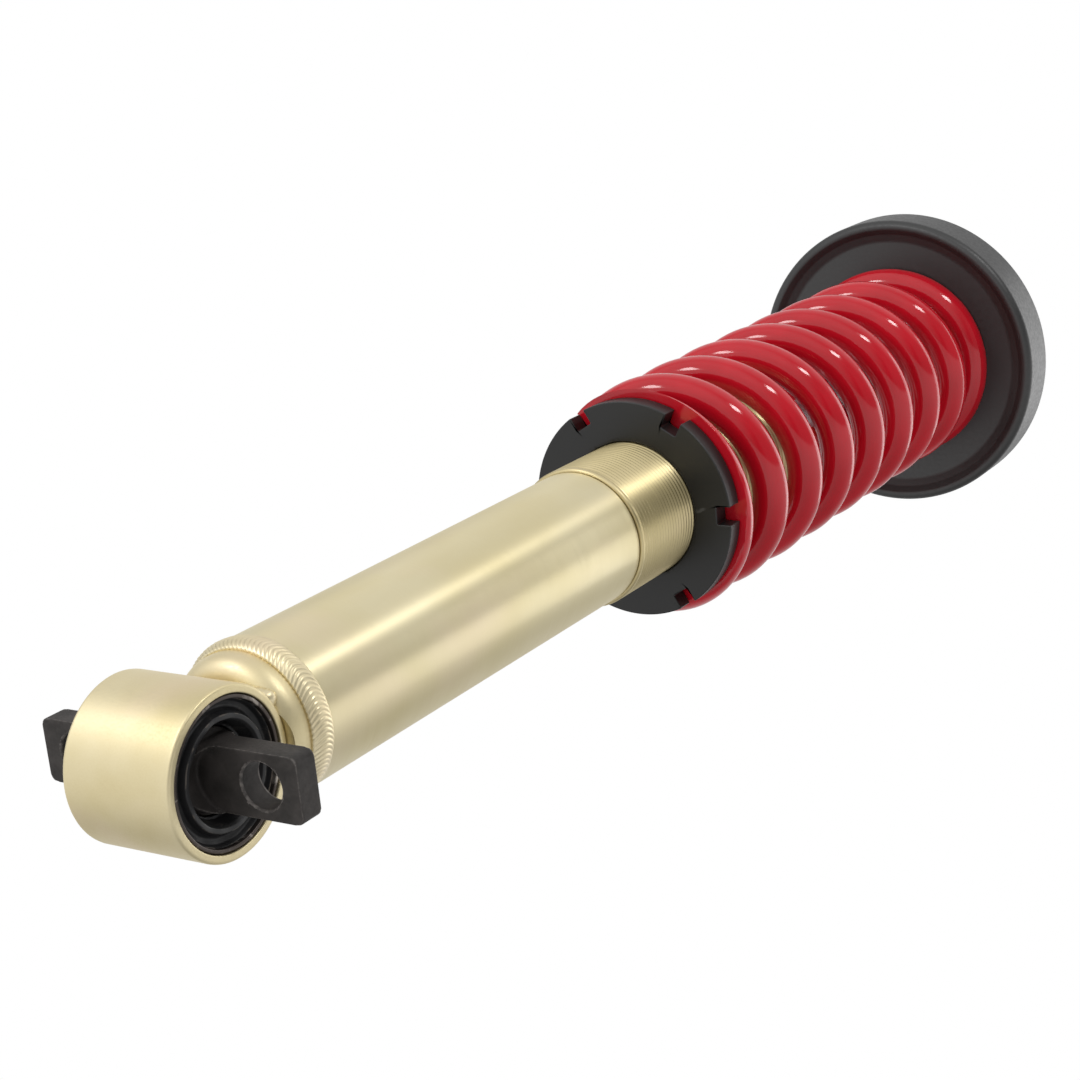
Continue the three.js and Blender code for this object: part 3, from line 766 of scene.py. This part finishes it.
def build_base_weld():
    """Bead of overlapping puddles between the dome and the tube."""
    puddles = 96
    foot, top = 31.2, TUBE_START + 1.2
    crown = 26.0
    rows = 22
    inner = NECK_RADIUS - 0.4
    toe_radius = TUBE_RADIUS - 0.15  # where the bead dips under the tube's surface
    crest_height, scallop_depth = 0.34, 0.28
    puddle_pitch = 2 * math.pi * TUBE_RADIUS / puddles
    bow = 2.6
    profile = [(inner, foot + 0.3)]
    for row in range(rows + 1):
        t = row / rows
        rise = math.sin(math.pi * (0.05 + 0.9 * t)) ** 0.6
        low = inner if t < 0.5 else toe_radius
        profile.append((low + (crown - low) * rise, foot + (top - foot) * t))
    profile.append((inner, top))

    def puddled(radii, places, angle):
        across = np.clip((2 * places - foot - top) / (top - foot), -1, 1)
        height = ripple(angle * TUBE_RADIUS, across, puddle_pitch, bow)
        outside = radii > inner + 0.2
        toe = np.clip((places - foot) / 1.2, 0, 1) * np.clip((top - places) / 1.4, 0.4, 1)
        scallop = scallop_depth * (height - 0.5) * np.clip(-across, 0, 1) ** 2
        return radii + outside * toe * crest_height * (height - 0.75), places - outside * scallop

    bead = lathe("base_weld_fine", profile, puddles * 10, warp=puddled)
    dress(bead, "barrel", GOLD_WELD, "gold_zinc", "base_weld", sharp=180, weighted=False)


def build_eye_welds():
    """Fillet bead on each side between the eye and the dome."""
    bead_radius = 3.1
    half_length = 19.2
    offset = 13.4
    station = 22.6
    cap = 2.8
    puddle_pitch, bow = 1.7, 1.6
    rows, sides = 150, 28
    along = np.linspace(-half_length, half_length, rows)[:, None]
    turn = np.linspace(0, 2 * math.pi, sides, endpoint=False)[None, :]
    for node, side in (("eye_weld_front", -1), ("eye_weld_rear", 1)):
        facing = math.atan2(5.0, side * 6.0)  # direction in which the bead faces out
        across = np.clip((np.mod(turn - facing + math.pi, 2 * math.pi) - math.pi) / 1.2, -1, 1)
        height = ripple(along + 0 * turn, across, puddle_pitch, bow)
        near_end = np.clip((np.abs(along) - half_length + cap) / cap, 0, 1)
        radius = bead_radius * np.sqrt(np.clip(1 - near_end**2, 0.0001, 1)) * (0.97 + 0.05 * height)
        wander = 0.15 * np.sin(along * 0.9 + side)
        points = np.stack((
            along + 0 * turn,
            side * offset + wander + radius * np.cos(turn),
            station + radius * np.sin(turn),
        ), axis=-1).reshape(-1, 3)
        caps = [tuple(range(sides)), tuple(range((rows - 1) * sides, rows * sides))]
        bead = new_object(f"{node}_fine", points, grid_faces(rows, sides, False, True) + caps)
        dress(bead, "barrel", GOLD_WELD, "gold_zinc", node, sharp=180, weighted=False)


def build_tube():
    """Tube, turned down under the sleeve, and the threaded sleeve with its fine thread."""
    under = UNDER_SLEEVE_RADIUS
    step = SLEEVE_START - GAP
    thread_depth, plain_foot = 0.55, 1.6
    tube = lathe("damper_tube_fine", rounded([
        (BORE_RADIUS, TUBE_START), (TUBE_RADIUS, TUBE_START), (TUBE_RADIUS, step, 0.5),
        (under, step), (under, TUBE_END), (BORE_RADIUS, TUBE_END),
    ], 0.25), 192)
    dress(tube, "barrel", GOLD_BRUSHED, "gold_zinc", "damper_tube")

    sleeve = threaded_bar(
        "threaded_sleeve_fine", under + GAP, SLEEVE_RADIUS, SLEEVE_START, SLEEVE_END,
        THREAD_PITCH, thread_depth, ROUND, plain_foot
    )
    dress(sleeve, "barrel", GOLD_THREAD, "thread_zinc", "threaded_sleeve", sharp=180, weighted=False)


def build_head():
    """Cap with four pin-spanner holes, and the wiper round the rod."""
    wiper_radius = 11
    cap_radius = 26.2
    plug_radius = 24
    top = 351
    pin_holes, pin_circle_radius = 4, 18.5
    bore, foot, flange = wiper_radius + GAP, TUBE_END + GAP, SLEEVE_END + GAP
    cap = lathe("barrel_cap_fine", rounded([
        (bore, foot), (plug_radius, foot), (plug_radius, flange), (cap_radius, flange),
        (cap_radius, top, 1.5), (bore, top, 0.8),
    ], 0.3, 4))
    for index in range(pin_holes):
        hole = drill("pin_hole", 2, top - 3, top + 1, 32)
        combine(cap, placed(hole, on_circle(pin_circle_radius, 360 * index / pin_holes)))
    dress(cap, "barrel", ANODISED, "black_anodised", "barrel_cap")

    clearance = ROD_RADIUS + GAP
    wiper = lathe("rod_wiper_fine", rounded([
        (clearance, 342), (wiper_radius, 342), (wiper_radius, top + 0.5, 0.6), (9.2, top + 0.9, 0.8),
        (8.6, top + 2, 0.4), (clearance, top + 2, 0.3),
    ], 0.3), SMALL_ROUND)
    dress(wiper, "barrel", RUBBER, "black_rubber", "rod_wiper")


# ---------------- adjuster collar
def radial(thing, station):
    """Turns a shape made up the axis from station 0 so that it points outwards at the set screw."""
    lift = Matrix.Translation((0, 0, EYE_TO_MOUNT * MM))
    lie_down = Matrix.Rotation(math.pi / 2, 4, "Y")
    turn = Matrix.Rotation(SCREW_ANGLE, 4, "Z")
    place = Matrix.Translation((0, 0, (station - EYE_TO_MOUNT) * MM))
    return placed(thing, place @ turn @ lie_down @ lift)


def collar_outline():
    """Outline of the collar with its spanner notches: (x, y) points and outward normals."""
    half = NOTCH_WIDTH / 2
    floor = COLLAR_RADIUS - NOTCH_DEPTH
    mouth_fillet = 0.55
    step = 2 * math.pi / NOTCHES
    mouth = math.asin(half / COLLAR_RADIUS)
    lip = COLLAR_RADIUS * math.cos(mouth)
    sector = [
        (lip, -half, mouth_fillet), (floor, -half, NOTCH_FILLET), (floor, half, NOTCH_FILLET),
        (lip, half, mouth_fillet),
    ]
    for angle in np.linspace(mouth, step - mouth, 34)[1:-1]:
        sector.append((COLLAR_RADIUS * math.cos(angle), COLLAR_RADIUS * math.sin(angle), 0))
    corners = []
    for index in range(NOTCHES):
        c, s = math.cos(index * step), math.sin(index * step)
        corners += [(c * x - s * y, s * x + c * y, fillet) for x, y, fillet in sector]
    points = np.array(rounded(corners, 0.3, 5))
    ahead = np.roll(points, -1, axis=0) - np.roll(points, 1, axis=0)
    normals = np.stack((ahead[:, 1], -ahead[:, 0]), axis=-1)
    return points, normals / np.linalg.norm(normals, axis=1, keepdims=True)


def collar_body():
    """Notched ring with a pilot for the spring and a recess for the slip washer."""
    points, normals = collar_outline()
    lengths = np.linalg.norm(np.roll(points, -1, axis=0) - points, axis=1)
    in_notch_floor = np.linalg.norm(points, axis=1) < COLLAR_RADIUS - NOTCH_DEPTH + NOTCH_FILLET
    floor_share = 3.2  # more than a notch floor's length, so that its rows fan out towards the bore
    lengths[in_notch_floor] *= floor_share
    spread = np.concatenate(([0], np.cumsum(lengths)[:-1])) / lengths.sum()
    first = math.atan2(points[0, 1], points[0, 0])
    turn = first + 2 * math.pi * spread
    around = np.stack((np.cos(turn), np.sin(turn)), axis=-1)
    bore = SLEEVE_RADIUS + GAP
    recess = WASHER_RADIUS + GAP
    recess_floor = COLLAR_BACK + WASHER_PROUD - WASHER_THICKNESS - GAP
    pilot_top = COLLAR_BACK + 20
    bore_edge, front_edge, back_edge, pilot_edge = 0.5, 0.4, 0.25, 2
    margin = 0.1  # flat strip beside the rounded edge
    rows = []

    def circle(radius, station):
        rows.append((radius * around, station))

    def contour(inset, station):
        rows.append((points - inset * normals, station))

    circle(bore, COLLAR_FACE + bore_edge)
    circle(bore + 0.3 * bore_edge, COLLAR_FACE + 0.3 * bore_edge)
    circle(bore + bore_edge, COLLAR_FACE)
    start, finish = (bore + bore_edge) * around, points - front_edge * normals
    for part in np.linspace(0, 1, 9)[1:-1]:
        rows.append((start * (1 - part) + finish * part, COLLAR_FACE))
    contour(front_edge + margin, COLLAR_FACE)
    for angle in np.linspace(0, math.pi / 2, 5):
        contour(front_edge * (1 - math.sin(angle)), COLLAR_FACE + front_edge * (1 - math.cos(angle)))
    for angle in np.linspace(0, math.pi / 2, 4):
        contour(back_edge * (1 - math.cos(angle)), COLLAR_BACK - back_edge * (1 - math.sin(angle)))
    circle(recess + 0.1, COLLAR_BACK)
    circle(recess, COLLAR_BACK - 0.1)
    circle(recess, recess_floor)
    circle(PILOT_RADIUS, recess_floor)
    for angle in np.linspace(0, math.pi / 2, 6):
        drop_in, drop = pilot_edge * (1 - math.cos(angle)), pilot_edge * (1 - math.sin(angle))
        circle(PILOT_RADIUS - drop_in, pilot_top - drop)
    circle(bore + 0.4, pilot_top)
    circle(bore, pilot_top - 0.4)
    places = np.array([
        np.column_stack((flat, np.full(len(flat), float(station)))) for flat, station in rows
    ]).reshape(-1, 3)
    return new_object("adjuster_collar_fine", places, grid_faces(len(rows), len(points), True, True))


def build_collar():
    """Collar with its screw hole, the set screw in it, and the slip washer."""
    bore = SLEEVE_RADIUS + GAP
    collar = collar_body()
    station = (COLLAR_FACE + COLLAR_BACK) / 2
    screw_radius = 2.5
    hole = drill("screw_hole", screw_radius + GAP, bore - 3, 46, 48)
    combine(collar, radial(hole, station))
    dress(collar, "collar", ANODISED, "black_anodised", "adjuster_collar")

    foot, head = bore + 3.7, COLLAR_RADIUS - 3.5
    screw = lathe("collar_set_screw_fine", rounded([
        (0, foot), (screw_radius, foot, 0.4), (screw_radius, head, 0.4), (0, head),
    ], 0.3, 3, closed=False), 48, closed=False)
    combine(screw, prism("socket", hexagon(2.5), head - 2.5, head + 1))
    dress(radial(screw, station), "collar", PLATED, "plated_steel", "collar_set_screw")

    top = COLLAR_BACK + WASHER_PROUD
    washer = ring("slip_washer_fine", PILOT_RADIUS + GAP, WASHER_RADIUS, top - WASHER_THICKNESS, top)
    dress(washer, "perch", POLYMER, "slide_polymer", "slip_washer")


# ---------------- coil spring
def soft_ramp(value):
    """Smooth ramp: 0 well before zero, rising one for one well after it."""
    return PITCH_EASE * np.logaddexp(0, value / PITCH_EASE)


def wire_station(turns):
    """Height of the wire's centre: two closed ends, an open middle and a tip drawn down."""
    opened = soft_ramp(turns - OPENS_AT) - soft_ramp(turns - CLOSES_AT)
    drop = TIP_DROP * np.exp(-turns / TIP_REACH)
    return SPRING_START - drop + CLOSED_PITCH * turns + (OPEN_PITCH - CLOSED_PITCH) * opened


def build_spring():
    """Round wire with closed ends ground flat on both seats."""
    sides, rows_per_turn = 40, 90
    rows = int(SPRING_TURNS * rows_per_turn)
    turns = np.linspace(0, SPRING_TURNS, rows)
    angle = SPRING_FIRST_ANGLE + 2 * math.pi * turns
    station = wire_station(turns)
    slope = np.gradient(station, angle)
    outward = np.stack((np.cos(angle), np.sin(angle), 0 * angle), axis=-1)
    tangent = np.stack((-SPRING_RADIUS * np.sin(angle), SPRING_RADIUS * np.cos(angle), slope), axis=-1)
    tangent /= np.linalg.norm(tangent, axis=1, keepdims=True)
    upward = np.cross(outward, tangent)
    centre = SPRING_RADIUS * outward
    centre[:, 2] = station
    phi = np.linspace(0, 2 * math.pi, sides, endpoint=False)
    rise = station[:, None] + WIRE_RADIUS * np.sin(phi)[None, :] * upward[:, 2:]
    ground = np.clip(rise, SPRING_FOOT, SPRING_TOP)
    chord = np.sqrt(np.clip(WIRE_RADIUS**2 - (ground - station[:, None]) ** 2, 0.01, None))
    reach = WIRE_RADIUS * np.cos(phi)[None, :] + 0 * rise
    reach = np.where(ground != rise, np.clip(reach, -chord, chord), reach)
    points = (
        centre[:, None, :]
        + reach[..., None] * outward[:, None, :]
        + WIRE_RADIUS * np.sin(phi)[None, :, None] * upward[:, None, :]
    )
    points[..., 2] = ground
    caps = [tuple(range(sides)), tuple(range((rows - 1) * sides, rows * sides))]
    faces = grid_faces(rows, sides, False, True) + caps
    spring = new_object("coil_spring_fine", points.reshape(-1, 3), faces)
    dress(spring, "rod_group", RED_POWDER, "red_powder_coat", "coil_spring", sharp=50, weighted=False)
    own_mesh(spring)


# ---------------- rod, bump stop and top mount
def hex_nut(name, across_flats, hole, start, end):
    """Hexagon nut with chamfered corners and a countersunk bore."""
    chamfer, sink = 0.9, 0.6
    flat = across_flats / 2 - 0.2
    outer = across_flats / math.sqrt(3) + 0.5
    turned = lathe("chamfer", [
        (hole, start + sink), (hole + sink, start), (flat, start), (outer, start + chamfer),
        (outer, end - chamfer), (flat, end), (hole + sink, end), (hole, end - sink),
    ], 72)
    return combine(prism(name, hexagon(across_flats), start, end), turned, "INTERSECT")


def build_rod():
    """Rod with its thread and nut, the bump stop and the washers on both sides of the pan."""
    body = "rod_group"
    foot, piston_shoulder, pan_shoulder = 285.5, 311.3, 516
    tenon, tenon_end, core, core_end = ROD_END_RADIUS, 524, ROD_END_RADIUS - 0.4, 525
    nut_foot, nut_top = 524.3, 532
    rod = lathe("piston_rod_fine", rounded([
        (0, foot), (tenon, foot), (tenon, piston_shoulder), (ROD_RADIUS, piston_shoulder),
        (ROD_RADIUS, pan_shoulder), (tenon, pan_shoulder), (tenon, tenon_end), (core, nut_foot),
        (core, core_end),
    ], 0.3, 3, closed=False) + [(0, core_end)], SMALL_ROUND, closed=False)
    dress(rod, body, CHROME, "hard_chrome", "piston_rod")
    thread = threaded_bar("piston_rod_thread", 0, tenon, 524.5, nut_top + 1, 1.25, 0.55, 48)
    dress(thread, body, PLATED, "plated_steel", sharp=180, weighted=False)

    hole, tenon_hole = ROD_RADIUS + GAP, tenon + GAP
    stop = lathe("bump_stop_fine", rounded([
        (hole, 486), (12.4, 486, 1), (13.4, 488.5, 2), (16, 491, 2), (14.5, 496, 3), (17.5, 500, 2.5),
        (19, 503, 2), (17.6, 507.5, 2.5), (19, 511, 1.6), (19, 513.6, 0.8), (hole, 513.6),
    ], 0.5, 6), 96)
    dress(stop, body, FOAM, "bump_foam", "bump_stop")

    for node, inner, outer, start, end in (
        ("bump_washer", hole, 21, 513.9, 515.9),
        ("pan_washer_lower", tenon_hole, 14, pan_shoulder + GAP, PAN_FACE - GAP),
        ("pan_washer_upper", tenon_hole, 15, PAN_FACE + PAN_WALL + GAP, tenon_end),
    ):
        washer = ring(f"{node}_fine", inner, outer, start, end, 96, 0.35)
        dress(washer, body, PLATED, "plated_steel", node)
    nut = hex_nut("rod_nut_fine", 17, tenon_hole, nut_foot, nut_top)
    dress(nut, body, PLATED, "plated_steel", "rod_nut")


def build_pan():
    """Pressed pan: a flat dish, a concave sweep up to the lip, and a plain wall."""
    bore = ROD_END_RADIUS + GAP
    rim, rim_foot = 3.0, 514.6
    inner_wall = PAN_RADIUS - PAN_WALL
    inside = PAN_FACE + PAN_WALL
    pilot, pilot_inner, pilot_foot = PILOT_RADIUS, PILOT_RADIUS - 3, PAN_FACE - 10
    lip = arc((PAN_RADIUS - rim, rim_foot + rim), rim, -115, 0, 16)
    profile = rounded([
        (bore, PAN_FACE), (pilot_inner, PAN_FACE, 1.5), (pilot_inner, pilot_foot, 0.8),
        (pilot, pilot_foot, 1.2), (pilot, PAN_FACE, 1.0), (58, PAN_FACE, 4), (61.6, PAN_FACE - 1.6, 3),
    ] + lip + [
        (PAN_RADIUS, PAN_TOP, 0.8), (inner_wall, PAN_TOP, 0.8), (inner_wall, inside, 2.5), (bore, inside),
    ], 0.4, 5)
    pan = lathe("upper_spring_pan_fine", profile, 256)
    dress(pan, "rod_group", BLACK_POWDER, "black_powder_coat", "upper_spring_pan", sharp=60)


def build_isolator():
    """Rubber between the pan and the stud plate, waisted on its outside."""
    plate_foot = EYE_TO_MOUNT - PLATE_THICKNESS
    foot, top = PAN_FACE + PAN_WALL + GAP, plate_foot - GAP
    height = top - foot
    foot_radius, lean, waist, bore_swell = 60, 1, 2, 0.6
    rows, bore_rows = 14, 6
    side = []
    for row in range(rows + 1):
        t = row / rows
        side.append((foot_radius - lean * t - waist * math.sin(math.pi * t), foot + height * t, 0))
    bore = []
    for row in range(bore_rows + 1):
        t = row / bore_rows
        bore.append((SOCKET_RADIUS + bore_swell * math.sin(math.pi * t), top - height * t, 0))
    isolator = lathe("isolator_rubber_fine", side + bore, 128)
    dress(isolator, None, RUBBER, "black_rubber", "isolator_rubber")
    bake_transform(isolator)


def build_stud_plate():
    """Plate with a socket hole, drawn up to the vehicle by three studs."""
    top = EYE_TO_MOUNT
    foot = top - PLATE_THICKNESS
    radius = 60
    plate = lathe("stud_plate_fine", rounded([
        (SOCKET_RADIUS, foot), (radius, foot, 0.6), (radius, top, 1.2), (SOCKET_RADIUS, top, 0.6),
    ], 0.5, 4), 192)
    for degrees in STUD_ANGLES:
        hole = drill("stud_hole", STUD_RADIUS + GAP, foot - 1, top + 1, 48)
        combine(plate, placed(hole, on_circle(STUD_CIRCLE_RADIUS, degrees)))
    dress(plate, "top_mount", BLACK_POWDER, "black_powder_coat", "stud_plate")

    pitch, depth, shank = 1.5, 0.7, 6
    tip = top + STUD_LENGTH
    for number, degrees in enumerate(STUD_ANGLES, 1):
        node = f"mount_stud_{number}"
        stud = threaded_bar(f"{node}_fine", 0, STUD_RADIUS, foot, tip, pitch, depth, 48, shank)
        placed(stud, on_circle(STUD_CIRCLE_RADIUS, degrees))
        dress(stud, "top_mount", PLATED, "plated_steel", node, sharp=180, weighted=False)


# ---------------- inner pieces that keep their CAD mesh
def carry_over():
    """Finishes for the pieces inside the barrel and the collar."""
    finishes = {
        ALUMINIUM: ("rod_guide", "floating_piston", "piston"),
        POLYMER: ("guide_bush", "piston_band", "collar_lock_pad"),
        RUBBER: ("shaft_seal", "floating_piston_seal", "rebound_bumper"),
        PLATED: ("seal_washer", "piston_nut"),
        BRIGHT: ("compression_shims", "rebound_shims"),
    }
    for finish, nodes in finishes.items():
        for node in nodes:
            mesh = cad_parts[node].data
            mesh.materials.clear()
            mesh.materials.append(finish)


# ---------------- studio
CAMERA_PLACE = Vector((0.3950, -0.2165, -0.9393))
CAMERA_AIM = Vector((-0.0031, -0.0059, -0.3398))
CAMERA_ROLL = math.radians(5.70)
CAMERA_LENS = 69.67
SPRING_MIDDLE = Vector((0, 0, -0.15))


def add_camera():
    """Camera that sees the strut lying aslant, from below its lower eye."""
    data = bpy.data.cameras.new("camera")
    data.lens = CAMERA_LENS
    data.sensor_width = 36
    camera = linked("camera", data)
    forward = (CAMERA_AIM - CAMERA_PLACE).normalized()
    level_right = forward.cross(Vector((0, -1, 0))).normalized()
    level_up = level_right.cross(forward)
    up = math.cos(CAMERA_ROLL) * level_up + math.sin(CAMERA_ROLL) * level_right
    right = forward.cross(up)
    turn = Matrix((right, up, -forward)).transposed().to_4x4()
    camera.matrix_world = Matrix.Translation(CAMERA_PLACE) @ turn
    bpy.context.scene.camera = camera


def add_softbox(name, direction, distance, width, height, radiance):
    """Oval light that faces the spring from a direction."""
    data = bpy.data.lights.new(name, "AREA")
    data.shape = "ELLIPSE"
    data.size = width
    data.size_y = height
    data.energy = radiance * math.pi * (math.pi / 4 * width * height)
    light = linked(name, data)
    away = Vector(direction).normalized()
    light.location = SPRING_MIDDLE + away * distance
    light.visible_camera = False
    light.rotation_mode = "QUATERNION"
    light.rotation_quaternion = away.to_track_quat("Z", "Y")


def add_floor():
    """Plain pale floor, well below the strut and behind the camera."""
    level = -1.15
    half = 6.0
    corners = [(x * half, y * half, level) for x, y in ((-1, -1), (1, -1), (1, 1), (-1, 1))]
    mesh = bpy.data.meshes.new("floor")
    mesh.from_pydata(corners, [], [(0, 1, 2, 3)])
    mesh.materials.append(Finish("floor_pale", (0.8, 0.8, 0.8), 0.0, 0.9).material)
    floor = linked("floor", mesh)
    floor.visible_glossy = False
    floor.visible_diffuse = False
    floor.visible_shadow = False


def add_world():
    """White studio: a bright sweep below and behind the strut, and a dark side round the camera."""
    world = bpy.data.worlds.new("studio")
    bpy.context.scene.world = world
    world.use_nodes = True
    tree = world.node_tree
    tree.nodes.clear()
    direction = add_node(tree, "TexCoord").outputs["Generated"]
    forward = (CAMERA_AIM - CAMERA_PLACE).normalized()

    def lobe(axis, low, high, level):
        """Light that grows from low to high along an axis."""
        along = add_node(tree, "VectorMath", Vector=direction)
        along.operation = "DOT_PRODUCT"
        along.inputs[1].default_value = axis
        limits = {"From_Min": low, "From_Max": high, "To_Max": level}
        ramp = add_node(tree, "MapRange", Value=along.outputs["Value"], **limits)
        ramp.interpolation_type = "SMOOTHSTEP"
        return ramp.outputs["Result"]

    def combined(operation, first, second):
        node = add_node(tree, "Math")
        node.operation = operation
        tree.links.new(first, node.inputs[0])
        if isinstance(second, float):
            node.inputs[1].default_value = second
        else:
            tree.links.new(second, node.inputs[1])
        return node.outputs[0]

    sweep = combined("SUBTRACT", lobe((0, 1, 0), -0.03, 0.04, 0.66), lobe((0, 1, 0), 0.25, 1.0, 0.64))
    behind = lobe(forward, 0.1, 0.8, 0.5)
    left = lobe((-0.25, -0.66, -0.7), 0.3, 0.85, 0.8)
    beyond = lobe((-0.1, -0.63, 0.77), 0.4, 0.92, 0.6)
    brightest = combined("MAXIMUM", combined("MAXIMUM", sweep, behind), combined("MAXIMUM", left, beyond))
    ambient = combined("SUBTRACT", combined("ADD", brightest, 0.3), lobe(-forward, 0.8, 0.97, 0.22))
    studio = add_node(tree, "Background", Color=ambient)
    plain = add_node(tree, "Background", Color=(1, 1, 1, 1))
    seen = add_node(tree, "LightPath").outputs["Is Camera Ray"]
    either = add_node(tree, "MixShader")
    for socket, source in zip(either.inputs, (seen, studio.outputs[0], plain.outputs[0])):
        tree.links.new(source, socket)
    add_node(tree, "OutputWorld", Surface=either.outputs[0])


build_eye()
build_bush()
build_bar_pin()
build_base()
build_base_weld()
build_eye_welds()
build_tube()
build_head()
build_collar()
build_spring()
build_rod()
build_pan()
build_isolator()
build_stud_plate()
carry_over()
add_camera()
add_softbox("softbox_side", (0.61, -0.78, -0.08), distance=1.0, width=0.15, height=0.36, radiance=17)
add_softbox("softbox_front", (-0.31, -0.61, -0.73), distance=1.0, width=0.15, height=0.28, radiance=12)
add_softbox("softbox_far", (0.5, 0.1, 0.86), distance=0.55, width=0.6, height=0.36, radiance=1.6)
add_floor()
add_world()
bpy.context.scene.view_settings.view_transform = "Standard"
